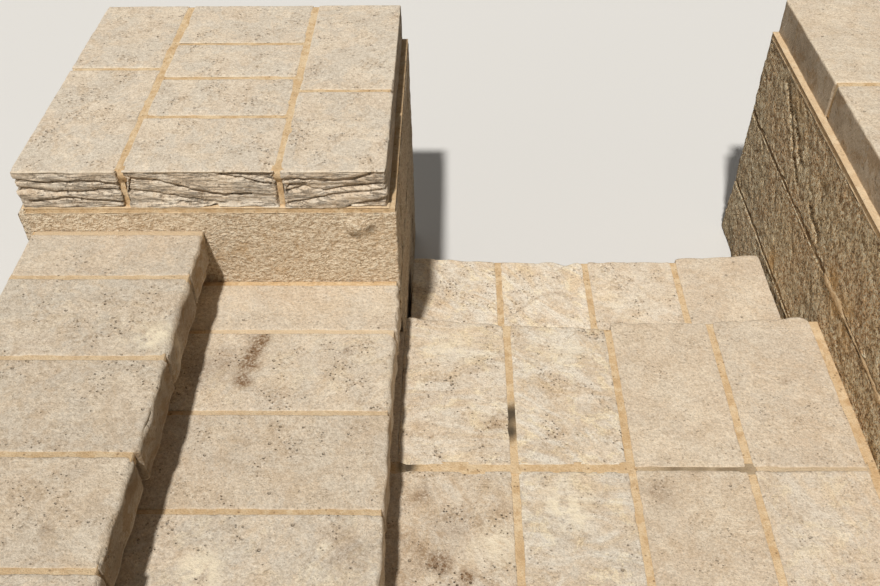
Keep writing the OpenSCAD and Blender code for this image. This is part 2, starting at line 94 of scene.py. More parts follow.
# Where the rows are cut, as shares of their length. Wear is how far each slab's front stands out at its
# two ends, and round the radii of its corners there
TOP_CUTS = [0, 0.11, 0.289, 0.466, 0.64, 0.82, 1]
MIDDLE_CUTS = [0, 0.118, 0.296, 0.477, 0.652, 0.83, 1]
LANDING_CUTS = [0, 0.252, 0.5, 0.751, 1]
LOWER_CUTS = [0, 0.245, 0.493, 0.746, 1]
ROW_CUTS = [0, 0.332, 0.663, 1]
TOP_WEAR = [[-3, -1], [-1, 1], [2, 5], [-1, -1], [5, 0], [0, -2]]
MIDDLE_WEAR = [[0, 4], [0, -2], [-1, 0], [-1, 1], [-2, 1], [0, 0]]
LANDING_WEAR = [[10, -18], [-18, -30], [-10, -10], [-7, 10]]
LOWER_WEAR = [[7, -8], [-10, -14], [-11, -11], [2, 18]]
TOP_ROUND = [[10, 14], [16, 30], [12, 16], [26, 12], [14, 18], [14, 10]]
MIDDLE_ROUND = [[8, 12], [44, 10], [12, 16], [14, 10], [12, 18], [12, 8]]
LANDING_ROUND = [[10, 14], [14, 10], [10, 12], [16, 22]]
LOWER_ROUND = [[8, 12], [10, 14], [12, 10], [16, 14]]

# The joints between the slabs of the upper treads and the cap
NARROW = 7
# The mesh's spacing across a stone's depth, on sides that others cover
HIDDEN = 40


# Noise

PRIMES = (374761393, 668265263, 2246822519, 3266489917)


def lattice(ix, iy, iz, seed):
    """Random numbers from 0 to 1 on whole-number points."""
    with np.errstate(over="ignore"):
        h = (
            ix.astype(np.uint32) * np.uint32(PRIMES[0])
            + iy.astype(np.uint32) * np.uint32(PRIMES[1])
            + iz.astype(np.uint32) * np.uint32(PRIMES[2])
            + np.uint32((seed * PRIMES[3]) % 2 ** 32)
        )
        h = (h ^ (h >> np.uint32(15))) * np.uint32(PRIMES[2])
        h = (h ^ (h >> np.uint32(13))) * np.uint32(PRIMES[3])
        h = h ^ (h >> np.uint32(16))
    return h.astype(np.float64) / (2 ** 32 - 1)


def noise(p, size, seed=0):
    """Smooth noise from -1 to 1 with features about size across. size may be one number or three."""
    q = p / np.asarray(size, float) + 1000.0
    i = np.floor(q).astype(np.int64)
    f = q - i
    u = f * f * f * (f * (f * 6 - 15) + 10)
    total = 0
    for a in (0, 1):
        wa = u[:, 0] if a else 1 - u[:, 0]
        for b in (0, 1):
            wb = u[:, 1] if b else 1 - u[:, 1]
            for c in (0, 1):
                wc = u[:, 2] if c else 1 - u[:, 2]
                total = total + wa * wb * wc * lattice(i[:, 0] + a, i[:, 1] + b, i[:, 2] + c, seed)
    return total * 2 - 1


def layers(p, size, seed=0, steps=3):
    """Several octaves of noise, from about -1 to 1."""
    total, weight, size = 0, 1.0, np.asarray(size, float)
    for k in range(steps):
        total = total + weight * noise(p, size * 0.5 ** k, seed + 17 * k)
        weight *= 0.5
    return total / 1.6


# Shapes

def unit(x):
    return np.clip(x, 0, 1)


def standing(n, sharp=1):
    """1 on upright faces and 0 on level ones."""
    return unit(1 - np.abs(n[:, 2]) * sharp)


def ticks(a, b, step, ends=(2, 5, 9, 14, 20)):
    """Positions from a to b about step apart, closer together near the two ends."""
    near = [e for e in ends if e < (b - a) / 2 - step / 2]
    inner0 = a + (near[-1] if near else 0)
    inner1 = b - (near[-1] if near else 0)
    n = max(1, int(round((inner1 - inner0) / step)))
    mid = [inner0 + (inner1 - inner0) * k / n for k in range(n + 1)]
    head = [a] + [a + e for e in near[:-1]] if near else []
    tail = [b - e for e in near[-2::-1]] + [b] if near else []
    return np.array(head + mid + tail)


def shell(xs, ys, zs):
    """Points and faces of a closed box surface on that grid. The bottom is one face."""
    nx, ny, nz = len(xs), len(ys), len(zs)
    on = np.zeros((nx, ny, nz), bool)
    on[0], on[-1] = True, True
    on[:, 0], on[:, -1] = True, True
    on[:, :, -1] = True
    index = -np.ones((nx, ny, nz), np.int64)
    index[on] = np.arange(on.sum())
    g = np.stack(np.meshgrid(xs, ys, zs, indexing="ij"), -1)[on]

    def quads(m, turned):
        q = np.stack([m[:-1, :-1], m[1:, :-1], m[1:, 1:], m[:-1, 1:]], -1).reshape(-1, 4)
        return q[:, ::-1] if turned else q

    faces = [
        quads(index[:, :, -1], False),
        quads(index[:, 0, :], False),
        quads(index[:, -1, :], True),
        quads(index[0], True),
        quads(index[-1], False),
    ]
    edges = index[:, 0, 0], index[-1, 1:, 0], index[-2::-1, -1, 0], index[0, -2:0:-1, 0]
    loop = [i for edge in edges for i in edge]
    return g.astype(float), np.concatenate(faces), loop[::-1]


def rounded(a, b, r):
    """Where two faces meet in a rounded edge: signed distances a and b joined with radius r."""
    p, q = a + r, b + r
    return np.minimum(np.maximum(p, q), 0) + np.hypot(np.maximum(p, 0), np.maximum(q, 0)) - r


def settle(p, sdf, rounds=3):
    """Moves points onto the surface of sdf, and returns them with their outward normals."""
    e = 0.4
    for k in range(rounds + 1):
        d = sdf(p)
        n = np.stack([sdf(p + np.array(v)) - d for v in ((e, 0, 0), (0, e, 0), (0, 0, e))], -1)
        n /= np.maximum(np.linalg.norm(n, axis=1, keepdims=True), 1e-9)
        if k < rounds:
            p = p - n * d[:, None]
    return p, n


class Piece:
    """A mesh that gathers several stones. Points are in millimetres in the frame's directions."""

    def __init__(self):
        self.v, self.q, self.big, self.tone, self.look, self.n = [], [], [], [], [], 0

    def add(self, v, quads, loop, tone, look):
        self.v.append(np.clip(v, BOX_LO, BOX_HI))
        self.q.append(quads + self.n)
        self.big.append([i + self.n for i in loop])
        self.tone.append(tone)
        self.look.append(look)
        self.n += len(v)

    def build(self, name, material, nodes=()):
        v = np.concatenate(self.v) * MM
        q = np.concatenate(self.q)
        mesh = bpy.data.meshes.new(name)
        sizes = np.concatenate([np.full(len(q), 4), [len(b) for b in self.big]]).astype(np.int32)
        flat = np.concatenate([q.reshape(-1)] + [np.array(b) for b in self.big]).astype(np.int32)
        mesh.vertices.add(len(v))
        mesh.vertices.foreach_set("co", v.reshape(-1).astype(np.float32))
        mesh.loops.add(len(flat))
        mesh.loops.foreach_set("vertex_index", flat)
        mesh.polygons.add(len(sizes))
        mesh.polygons.foreach_set("loop_start", (np.cumsum(sizes) - sizes).astype(np.int32))
        mesh.polygons.foreach_set("loop_total", sizes)
        smooth = np.ones(len(sizes), bool)
        smooth[len(q):] = False
        mesh.polygons.foreach_set("use_smooth", smooth)
        mesh.update(calc_edges=True)
        mesh.validate()
        for key, parts in (("tone", self.tone), ("look", self.look)):
            attr = mesh.attributes.new(key, "FLOAT_COLOR", "POINT")
            attr.data.foreach_set("color", np.concatenate(parts).reshape(-1).astype(np.float32))
        obj = bpy.data.objects.new(name, mesh)
        bpy.context.collection.objects.link(obj)
        obj.data.materials.append(material)
        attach(obj, "root")
        if nodes:
            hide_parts(*nodes)


PLAIN = (0.5, 0.3, 0.25, 0.25, 0.35)


def shades(count, seed, look=PLAIN):
    """Two shading attributes of one stone. tone: brightness, brownness (above 1 a painted shade), edge wear
    (partly a painted highlight; on rough stone the relief's depth, which paints shade in hollows), marks
    (dark above 0, pale below). look: veins, pits, greyness, and a random number that turns and shifts the
    stone's pattern."""
    tone, other = np.zeros((count, 4)), np.zeros((count, 4))
    tone[:, 0], tone[:, 1] = look[0], look[1]
    other[:, 0], other[:, 1], other[:, 2] = look[2:]
    other[:, 3] = np.random.RandomState(seed).rand()
    return tone, other


def spots(p, marks):
    """How far points lie inside ragged round marks: (x, y, radius, strength) each, in millimetres."""
    total = np.zeros(len(p))
    edge = 0.4 * layers(np.column_stack([p, p[:, 0]]), 40, 91) if marks else 0
    for x, y, r, strength in marks:
        d = np.hypot(p[:, 0] - x, p[:, 1] - y) / r + edge
        total += strength * unit(1.3 - d)
    return total


def cracks(p, lines, width, sway=2.5):
    """How close points lie to wandering cracks: 1 on one, 0 away. Each line is a list of (a, b) points."""
    q = p + sway * np.stack([noise(np.column_stack([p, p[:, 0]]), 22, k) for k in (5, 6)], -1)
    near = np.full(len(p), 1e9)
    for line in lines:
        for (x0, y0), (x1, y1) in zip(line, line[1:]):
            dx, dy = x1 - x0, y1 - y0
            t = unit(((q[:, 0] - x0) * dx + (q[:, 1] - y0) * dy) / (dx * dx + dy * dy))
            near = np.minimum(near, np.hypot(q[:, 0] - x0 - t * dx, q[:, 1] - y0 - t * dy))
    return np.exp(-((near / width) ** 2))


# Rows of stones

def stones(cuts, lo, hi, gap):
    """The number and the two ends of each stone in a row from lo to hi, with joints of width gap."""
    last = len(cuts) - 2
    for i in range(len(cuts) - 1):
        a = lo + cuts[i] * (hi - lo) + (0 if i == 0 else gap / 2)
        b = lo + cuts[i + 1] * (hi - lo) - (0 if i == last else gap / 2)
        yield i, a, b


def joints(cuts, lo, hi):
    """The middle of each joint in a row from lo to hi."""
    return [lo + c * (hi - lo) for c in cuts[1:-1]]


# Worn slabs with a nosing

WANDER = 5
PLAIN_EDGE, SIDE_EDGE = 5, 4
FRONT_REACH = 26.0
PATTERN_SHIFT = np.array([13.7, 5.1, 9.3])
NOSED_TICKS, PLAIN_TICKS = (2, 5, 9, 14, 20, 26), (3, 8, 14)
NOSED_LEVELS = [0, 3, 7, 12, 20, 28, 37, 46, 55, 63, 69, 74, 78, 82, SLAB_T]
PLAIN_LEVELS = [0, 30, 60, 74, 80, 84, SLAB_T]


def turned(d, r):
    """How far a rounded corner of radius r lies back at the distance d from its end."""
    c = np.clip(r - d, 0, r)
    return r - np.sqrt(np.maximum(r * r - c * c, 0))


def strays(k, f):
    """How far the front of slab k wanders in, at the share f of its length."""
    slow = np.sin(2 * np.pi * (1.3 * f + 0.37 * k))
    quick = np.sin(2 * np.pi * (2.9 * f + 0.61 * k))
    return WANDER / 4 * (2 + slow + quick)


def worn_slab(piece, a, b, depth, wear, corner, z, k, place, step, nose, look=PLAIN, marks=(), chips=1.0,
              split=(), dents=(), grime=0.0, keen=1.0):
    """Slab k of a row, in the row's own directions: along x from a to b, front at y = 0, top at z. nose is
    its nosing's radius, 0 for plain edges, and keen the share of the corners' rounding that is kept. chips
    is how broken its front is, and the argument after dents how strongly painted shade darkens the upright
    faces near its front. place turns points into the frame's directions, which marks, split and dents
    are in."""
    length = b - a

    def front(x):
        s = np.clip(x - a, 0, length)
        if not nose:
            return np.zeros(len(x)) + wear[0] - turned(s, PLAIN_EDGE) - turned(length - s, PLAIN_EDGE)
        line = wear[0] + (wear[1] - wear[0]) * s / length - strays(k, s / length)
        return line - turned(s, corner[0] * keen) - turned(length - s, corner[1] * keen)

    upper_edge, lower_edge = (nose, 8) if nose else (PLAIN_EDGE, 1)

    def sdf(p):
        g = rounded(p[:, 1] - front(p[:, 0]), p[:, 2] - z, upper_edge)
        g = rounded(g, z - SLAB_T - p[:, 2], lower_edge)
        g = rounded(g, np.maximum(a - p[:, 0], p[:, 0] - b), SIDE_EDGE)
        return rounded(g, -depth - p[:, 1], SIDE_EDGE)

    xs = ticks(a, b, step)
    ys = ticks(-depth, 0, step, NOSED_TICKS if nose else PLAIN_TICKS)
    zs = z - SLAB_T + np.array(NOSED_LEVELS if nose else PLAIN_LEVELS, float)
    g, quads, loop = shell(xs, ys, zs)
    g[:, 1] = -depth + (g[:, 1] + depth) * (front(g[:, 0]) + depth) / depth
    g, n = settle(g, sdf)
    world = place(g)
    normal = place(g + n) - world
    seed = 7 * k + int(abs(z))
    q = world + PATTERN_SHIFT * (k + 3)
    up = unit(n[:, 2])
    side = standing(n)
    edge = unit(up * side * 4)
    near = np.exp(-(((front(g[:, 0]) - g[:, 1]) / FRONT_REACH) ** 2))
    crumb = unit(layers(q, 33, seed + 3) - 0.18)
    tone, other = shades(len(world), seed, look)
    # Painted shade on the upright faces near the front, carried in the brownness channel
    tone[:, 1] += grime * near * side * (2.2 + 0.5 * layers(q, 60, seed + 7))
    # Worn edges, which the material paints paler, partly as a painted highlight on the rounded arris
    tone[:, 2] = unit(edge * (0.4 + 2 * crumb))
    tone[:, 3] = spots(world[:, :2], marks)

    # How far each point lies in: the worn top, the sides, the crumbled edges, then marks, cracks and dents
    d = 0.8 * up * (1 + layers(q, 95, seed))
    d += (0.3 + 0.5 * look[3]) * up * (1 + layers(q, 22, seed + 1, 2))
    d += side * near * (0.6 + 0.9 * chips) * (1 + layers(q, (38, 38, 15), seed + 2))
    coarse = layers(q, (75, 75, 400), seed + 6, 2)
    fine = layers(q, (19, 19, 90), seed + 8, 2)
    d += side * (1 - near) * 1.1 * (2 + coarse + fine)
    d += edge * (1.3 + chips * near * 1.2) * crumb * 8
    d += chips * edge * near * unit(noise(q, 70, seed + 4) - 0.35) * 10
    d += 2.0 * up * unit(tone[:, 3]) * unit(layers(q, 12, seed + 5, 2))
    if split:
        gap = cracks(world[:, :2], split, 2.6)
        d += 4 * gap * up
        tone[:, 3] += 0.6 * gap * up
    for x, y, r, deep in dents:
        d += deep * np.exp(-(((world[:, 0] - x) / r) ** 2 + ((world[:, 1] - y) / r) ** 2))
    world = world - normal * np.maximum(d, 0)[:, None]
    piece.add(world, quads, loop, tone, other)


def nosed_row(piece, length, depth, z, cuts, wear, corner, place, step, looks, noses, deeper=(0,) * 9,
              gap=JOINT, **more):
    for i, a, b in stones(cuts, 0, length, gap):
        worn_slab(piece, a, b, depth + deeper[i], wear[i], corner[i], z, i + len(cuts) - 1, place, step,
                  noses[i], looks[i], **more)


def upper(x1):
    """Places a row of the upper flight, whose fronts look along x."""
    return lambda p: np.stack([x1 + p[:, 1], TREAD1 - p[:, 0], p[:, 2]], -1)


def lower(x0, y0):
    """Places a row of the landing or lower flight, whose fronts look along y."""
    return lambda p: np.stack([x0 + p[:, 0], y0 + p[:, 1], p[:, 2]], -1)


# Blocks with a chosen relief

def corners(n):
    """1 on a block's rounded edges and 0 on its flat faces."""
    return unit((1 - np.max(np.abs(n), axis=1)) * 4)


ROUGH_LOOK = (0.5, 0.4, 0.2, 0.4, 0.3)


def block(piece, lo, hi, steps, r, relief, seed, look=PLAIN, ends=(2, 5, 9), marks=(), grime=0.0,
          plane=(0, 1)):
    """A stone between lo and hi with edges of radius r. steps are the spacings along x, y and z, and relief
    gives how far each point lies in, from the points, their normals and the seed. marks are given in the
    two directions of plane, and the argument before plane is the painted shade on the upright sides."""
    lo, hi = np.array(lo, float), np.array(hi, float)
    grid = [ticks(lo[i], hi[i], steps[i], ends if steps[i] < HIDDEN else (4,)) for i in range(3)]
    g, quads, loop = shell(*grid)
    inner = np.clip(g, lo + r, hi - r)
    n = g - inner
    n /= np.maximum(np.linalg.norm(n, axis=1, keepdims=True), 1e-9)
    p = inner + n * r
    d = relief(p, n, seed)
    tone, other = shades(len(p), seed, look)
    # On rough stone the relief's depth, which its material turns into painted shade in the hollows; elsewhere
    # the rounded edges, painted paler partly as a highlight
    tone[:, 2] = unit(d / 9) if look is ROUGH_LOOK else corners(n)
    tone[:, 3] = spots(p[:, plane], marks)
    # Painted shade on the upright sides, carried in the brownness channel
    if grime:
        side = standing(n, 1.5)
        tone[:, 1] += side * grime * (2.2 + d / 6 + 0.5 * layers(p, 120, seed + 9))
    piece.add(p - n * d[:, None], quads, loop, tone, other)


def smooth_relief(p, n, seed):
    """Faces worn smooth, with crumbled edges."""
    q = p + seed * 7.3
    up = unit(n[:, 2])
    d = 0.7 * (1 + layers(q, 90, seed)) * (0.3 + up) + 0.4 * (1 + layers(q, 22, seed + 1, 2))
    d += corners(n) * unit(layers(q, 28, seed + 2) - 0.15) * 9
    return np.maximum(d, 0)


def dressed_side(p, n, seed):
    """A smooth top over sides left rough from the chisel."""
    side = standing(n, 1.5)
    return smooth_relief(p, n, seed) + side * 0.9 * (1 + layers(p + seed, 24, seed + 5))


def strokes(p, n, seed, lean):
    """Depth of leaning chisel strokes and the pits between them, on faces that stand upright."""
    s = p[:, 1] * np.abs(n[:, 0]) + p[:, 0] * np.abs(n[:, 1])
    c, k = math.cos(math.radians(lean)), math.sin(math.radians(lean))
    q = np.stack([s * c + p[:, 2] * k, p[:, 2] * c - s * k, 0.3 * s], -1) + seed * 11.9
    stroke = np.clip(0.40 + layers(q, (20, 16, 60), seed + 1, 2), 0, 1.3)
    pit = unit(layers(q, (13, 14, 30), seed + 3, 1) - 0.05)
    return 3.2 * stroke + 5 * pit


def rough(lean, deep=1.0, lines=(), hollows=()):
    """Relief of a hacked face, with long cracks and with hollows of (s, z, radius, depth) in it."""

    def relief(p, n, seed):
        face = standing(n, 1.2)
        d = face * (deep * strokes(p, n, seed, lean) + 1.2 * (1 + layers(p + seed, 130, seed + 2)))
        d += 0.4 * (1 - face) * (1 + layers(p + seed, 40, seed))
        d += corners(n) * unit(layers(p + seed, 42, seed + 4)) * 15
        s = p[:, 1] * np.abs(n[:, 0]) + p[:, 0] * np.abs(n[:, 1])
        if lines:
            d += face * (11 + 5 * noise(p, 40, 3)) * cracks(np.stack([s, p[:, 2]], -1), lines, 6, 8)
        for a, z, r, h in hollows:
            d += face * h * np.exp(-(((s - a) / r) ** 2 + ((p[:, 2] - z) / r) ** 2))
        return np.maximum(d, 0)

    return relief


def cleft(lines, slope):
    """A front broken across the stone's beds. lines are its open seams, as (x, z) points, and slope is how
    the finer beds fall."""

    def relief(p, n, seed):
        q = p + seed * 9.1
        front = np.exp(-(((p[:, 1] - PIER_Y) / 15.0) ** 2)) * unit(1.1 - n[:, 2])
        d = 10 * cracks(p[:, [0, 2]], lines, 3.4)
        for k, line in enumerate(lines):
            z = np.interp(p[:, 0], [x for x, _ in line], [z for _, z in line])
            d += (2.2 if k % 2 else -1.8) * np.tanh((p[:, 2] - z) / 3)
        bed = p[:, 2] + slope * (p[:, 0] - CAP_X1) + 6 * noise(q, (70, 400, 50), seed)
        leaf = np.stack([q[:, 0], q[:, 1], bed], -1)
        leaves = 3.2 * (1 + layers(leaf, (46, 46, 8), seed + 3))
        d += leaves + 5 * unit(noise(q, (45, 60, 24), seed + 4))
        flaked = unit(1.6 - (p[:, 1] - PIER_Y) / 26) * unit(n[:, 2])
        top = smooth_relief(p, n, seed) + 5 * flaked * unit(layers(q, (50, 20, 50), seed + 5) - 0.1)
        return np.maximum(top * (1 - front) + np.maximum(d, 0) * front, 0)

    return relief


# Materials

FULL_TURN = 6.28


def linear(r, g, b):
    """A colour given in a screen's steps from 0 to 255."""
    return tuple(((c / 255 + 0.055) / 1.055) ** 2.4 for c in (r, g, b)) + (1,)


class Nodes:
    """Short calls for building a material."""

    def __init__(self, name):
        self.mat = bpy.data.materials.new(name)
        self.mat.use_nodes = True
        self.t = self.mat.node_tree
        self.t.nodes.clear()
        self.out = self.t.nodes.new("ShaderNodeOutputMaterial")
        self.bsdf = self.t.nodes.new("ShaderNodeBsdfPrincipled")
        self.t.links.new(self.bsdf.outputs[0], self.out.inputs[0])
        self.where = self.t.nodes.new("ShaderNodeTexCoord").outputs["Object"]

    def node(self, kind, inputs=None, **props):
        n = self.t.nodes.new(kind)
        for key, value in props.items():
            setattr(n, key, value)
        for key, value in (inputs or {}).items():
            self.put(n.inputs[key], value)
        return n

    def put(self, socket, value):
        if isinstance(value, bpy.types.NodeSocket):
            self.t.links.new(value, socket)
        else:
            socket.default_value = value

    def turn(self, axis, angle):
        """Turns the pattern's coordinates about an axis by an angle in radians, or by a socket."""
        self.where = self.node(
            "ShaderNodeVectorRotate", {"Vector": self.where, "Angle": angle}, rotation_type=axis
        ).outputs[0]

    def shift(self, amount):
        self.where = self.node(
            "ShaderNodeVectorMath", {0: (7.3, 4.1, 5.7), 1: amount, 2: self.where}, operation="MULTIPLY_ADD"
        ).outputs[0]

    def scaled(self, size):
        """Coordinates in units of size metres, or of three sizes."""
        s = size if isinstance(size, tuple) else (size, size, size)
        scale = tuple(1 / v for v in s)
        return self.node("ShaderNodeMapping", {"Vector": self.where, "Scale": scale}).outputs[0]

    def noise(self, size, detail=4.0, rough=0.55, warp=0.0):
        inputs = {"Vector": self.scaled(size), "Scale": 1.0, "Detail": detail}
        inputs.update({"Roughness": rough, "Distortion": warp})
        return self.node("ShaderNodeTexNoise", inputs).outputs[0]

    def cells(self, size):
        inputs = {"Vector": self.scaled(size), "Scale": 1.0}
        return self.node("ShaderNodeTexVoronoi", inputs).outputs["Distance"]

    def span(self, value, a, b, c=0.0, d=1.0):
        return self.node(
            "ShaderNodeMapRange", {"Value": value, "From Min": a, "From Max": b, "To Min": c, "To Max": d}
        ).outputs[0]

    def math(self, kind, a, b=0.0):
        return self.node("ShaderNodeMath", {0: a, 1: b}, operation=kind).outputs[0]

    def larger(self, a, b):
        return self.math("MAXIMUM", a, b)

    def times(self, *values):
        out = values[0]
        for v in values[1:]:
            out = self.math("MULTIPLY", out, v)
        return out

    def mix(self, factor, a, b, kind="MIX"):
        n = self.node("ShaderNodeMix", data_type="RGBA", blend_type=kind)
        self.put(n.inputs[0], factor)
        self.put(n.inputs[6], a)
        self.put(n.inputs[7], b)
        return n.outputs[2]

    def start(self, light, dark, factor):
        """Begins the colour with two tones."""
        self.base = self.mix(factor, linear(*light), linear(*dark))

    def tint(self, tone, *factors):
        """Mixes a tone into the colour, as strongly as the factors' product."""
        self.base = self.mix(self.times(*factors), self.base, linear(*tone))

    def shade(self, level):
        grey = self.node("ShaderNodeCombineColor", {0: level, 1: level, 2: level}).outputs[0]
        self.base = self.mix(1.0, self.base, grey, "MULTIPLY")

    def attribute(self, name):
        a = self.node("ShaderNodeAttribute", attribute_name=name, attribute_type="GEOMETRY")
        s = self.node("ShaderNodeSeparateColor", {0: a.outputs["Color"]})
        return s.outputs[0], s.outputs[1], s.outputs[2], a.outputs["Alpha"]

    def finish(self, height, strength, distance, rough):
        self.put(self.bsdf.inputs["Base Color"], self.base)
        self.bsdf.inputs["Roughness"].default_value = rough
        self.bsdf.inputs["Specular IOR Level"].default_value = 0.2
        bump = self.node("ShaderNodeBump", {"Height": height, "Strength": strength, "Distance": distance})
        self.put(self.bsdf.inputs["Normal"], bump.outputs[0])
        return self.mat


def limestone(name, bedded=False):
    """The pale stone of the slabs. With bedded, its beds show on upright faces, found where the brownness
    channel carries painted shade.
    """
    m = Nodes(name)
    bright, brown_and_shade, wear, mark = m.attribute("tone")
    veins, pits, grey, chance = m.attribute("look")
    m.shift(chance)
    tooling = m.noise((0.10, 0.0045, 0.0045), 4, 0.6)
    m.turn("Z_AXIS", m.times(chance, FULL_TURN))
    broad = m.noise(0.12, 6, 0.66, 0.4)
    mid = m.noise(0.026, 6, 0.70)
    fine = m.noise(0.0075, 4, 0.74)
    grain = m.noise(0.0036, 2, 0.7)
    swirl = m.noise((0.15, 0.06, 0.08), 5, 0.62, 1.6)

    # Broad tones, grey and tan patches
    m.start((224, 206, 180), (212, 192, 166), m.span(broad, 0.40, 0.60))
    m.tint((214, 205, 192), grey, 0.3)
    m.tint((196, 175, 146), m.span(mid, 0.50, 0.62), 0.32)
    m.tint((234, 220, 196), m.span(mid, 0.46, 0.38), 0.26)
    dull = m.span(m.noise(0.09, 7, 0.72, 0.5), 0.475, 0.525)
    m.tint((202, 193, 178), dull, grey, 0.55)
    tan = m.span(m.noise(0.07, 7, 0.74, 0.6), 0.50, 0.56)
    m.tint((192, 165, 132), tan, brown_and_shade, 0.62)

    # Flakes, veins and tool marks
    flake = m.span(m.noise(0.055, 7, 0.7, 0.7), 0.54, 0.575)
    m.tint((238, 221, 186), flake, m.span(veins, 0.3, 1.0, 0.0, 0.8))
    strong = m.math("POWER", veins, 2.0)
    m.tint((234, 228, 214), m.span(swirl, 0.50, 0.62), strong, 0.8)
    m.tint((218, 190, 150), m.span(swirl, 0.48, 0.36), strong, 0.7)
    off = m.math("ABSOLUTE", m.math("SUBTRACT", m.noise(0.075, 5, 0.7, 0.9), 0.5))
    line = m.times(m.span(off, 0.011, 0.003), m.span(broad, 0.5, 0.62))
    m.tint((158, 132, 100), line, m.span(veins, 0.1, 1, 0.0, 0.8))
    m.tint((172, 152, 124), m.span(tooling, 0.50, 0.66), 0.17)

    # Pits and grain
    patch = m.span(m.noise(0.065, 6, 0.74, 0.3), 0.52, 0.60)
    holes = m.larger(m.span(m.cells(0.0095), 0.24, 0.12), m.span(m.cells(0.019), 0.17, 0.08))
    few = m.times(m.span(m.cells(0.055), 0.070, 0.045), 0.8)
    holes = m.larger(m.times(holes, patch, m.span(pits, 0.0, 1.0, 0.3, 1.3)), few)
    m.tint((160, 132, 98), patch, pits, m.span(fine, 0.40, 0.58), 0.5)
    m.tint((108, 88, 66), holes, 0.62)
    m.tint((160, 141, 117), m.span(fine, 0.50, 0.62), 0.36)
    m.tint((238, 226, 206), m.span(fine, 0.46, 0.38), 0.26)
    m.tint((122, 102, 78), m.span(m.cells(0.0072), 0.26, 0.12), m.span(mid, 0.40, 0.54), 0.5)
    m.shade(m.span(grain, 0.32, 0.68, 0.84, 1.12))

    # Worn edges, paler partly as a painted highlight; painted shade on upright sides; beds and marks
    m.tint((234, 219, 192), wear, 0.35)
    m.tint((112, 92, 68), m.span(brown_and_shade, 1.0, 2.0))
    bed = m.noise((0.08, 0.08, 0.0075), 4, 0.62, 0.25)
    upright = m.span(brown_and_shade, 0.12, 0.22, 0.0, 1.0 if bedded else 0.0)
    parting = m.times(m.span(m.math("ABSOLUTE", m.math("SUBTRACT", bed, 0.5)), 0.03, 0.008), upright)
    m.tint((168, 144, 114), m.span(bed, 0.52, 0.62), upright, 0.1)
    m.tint((124, 102, 78), parting, 0.35)
    m.tint((128, 100, 72), m.larger(mark, 0.0), m.span(m.noise(0.008, 6, 0.8), 0.36, 0.60))
    m.tint((238, 224, 196), m.larger(m.times(mark, -1.0), 0.0), m.span(mid, 0.60, 0.44))
    m.shade(m.span(bright, 0.2, 0.8, 0.91, 1.21))

    height = m.math("ADD", m.times(mid, 0.8), m.math("ADD", m.times(fine, 0.6), m.times(grain, 0.2)))
    height = m.math("SUBTRACT", height, m.math("ADD", m.times(holes, 0.8), m.times(tooling, 0.12)))
    height = m.math("SUBTRACT", height, m.times(flake, 0.05))
    height = m.math("SUBTRACT", height, m.times(m.math("ADD", parting, bed), upright, 0.6))
    return m.finish(height, 1.0, 0.0046, 0.88)


def rough_stone(name, axis, lean, light, dark, dark_and_shade_tone, pale_and_highlight_tone, grain, longer, bump):
    """Chiselled stone with strokes that lean by an angle about an axis. Its pale ridges and dark hollows
    follow the bump: a painted highlight and painted shade, over the stone's own tones.
    """
    m = Nodes(name)
    bright, _, depth, mark = m.attribute("tone")
    m.turn(axis, math.radians(lean))
    broad = m.noise(0.16, 6, 0.66, 0.3)
    ridge = m.noise((grain * longer, grain * longer, grain), 3, 0.6)
    mid = m.noise((0.034, 0.034, 0.020), 5, 0.7)
    fine = m.noise(0.0034, 2, 0.6)
    m.start(light, dark, m.span(broad, 0.38, 0.62))
    m.tint(dark_and_shade_tone, m.span(mid, 0.51, 0.62), 0.25)
    # Painted highlight on the raised grains and painted shade on the low ones, following the bump's height
    m.tint(pale_and_highlight_tone, m.span(ridge, 0.51, 0.57), 0.85)
    m.tint(dark_and_shade_tone, m.span(ridge, 0.47, 0.41), 0.75)
    # Painted shade where the relief lies deepest
    m.tint(dark_and_shade_tone, m.span(depth, 0.7, 1.5), 0.45)
    m.tint(dark_and_shade_tone, m.span(fine, 0.50, 0.60), 0.45)
    m.tint(pale_and_highlight_tone, m.span(fine, 0.46, 0.38), 0.6)
    rust = m.span(m.noise(0.10, 6, 0.7, 0.5), 0.58, 0.68)
    m.tint((198, 158, 106), rust, 0.45)
    # Marks above 0 paint shadow, as beside the pier's knob; below 0 they are pale ochre mortar
    m.tint((84, 68, 48), m.larger(mark, 0.0))
    m.tint((222, 178, 118), m.larger(m.times(mark, -1.0), 0.0))
    m.shade(m.span(bright, 0.2, 0.8, 0.92, 1.05))
    height = m.math("ADD", m.times(mid, 0.7), m.math("ADD", ridge, m.times(fine, -0.5)))
    return m.finish(height, 1.0, bump, 0.93)


def mortar(name, light, dark, speck, marked=False):
    """Lime mortar. With marked, each joint's own tone and marks show."""
    m = Nodes(name)
    grain = m.noise(0.0035, 3, 0.7)
    mid = m.noise(0.014, 5, 0.65)
    m.start(light, dark, m.span(m.noise(0.07, 5, 0.6, 0.3), 0.38, 0.62))
    m.tint(speck, m.span(mid, 0.5, 0.62), 0.6)
    m.tint((234, 212, 176), m.span(m.noise(0.03, 5, 0.7), 0.50, 0.60), 0.6)
    m.tint(speck, m.span(grain, 0.45, 0.65), 0.35)
    m.tint((112, 80, 50), m.span(m.cells(0.016), 0.20, 0.08), 0.65)
    if marked:
        bright, ochre, _, mark = m.attribute("tone")
        m.tint((226, 204, 172), m.span(ochre, 0.0, 0.6, 0.85, 0.0))
        m.tint((88, 76, 60), m.larger(mark, 0.0))
        m.shade(m.span(bright, 0.0, 1.0, 0.7, 1.1))
    height = m.math("ADD", mid, m.times(grain, 0.5))
    return m.finish(height, 0.8, 0.004, 0.95)


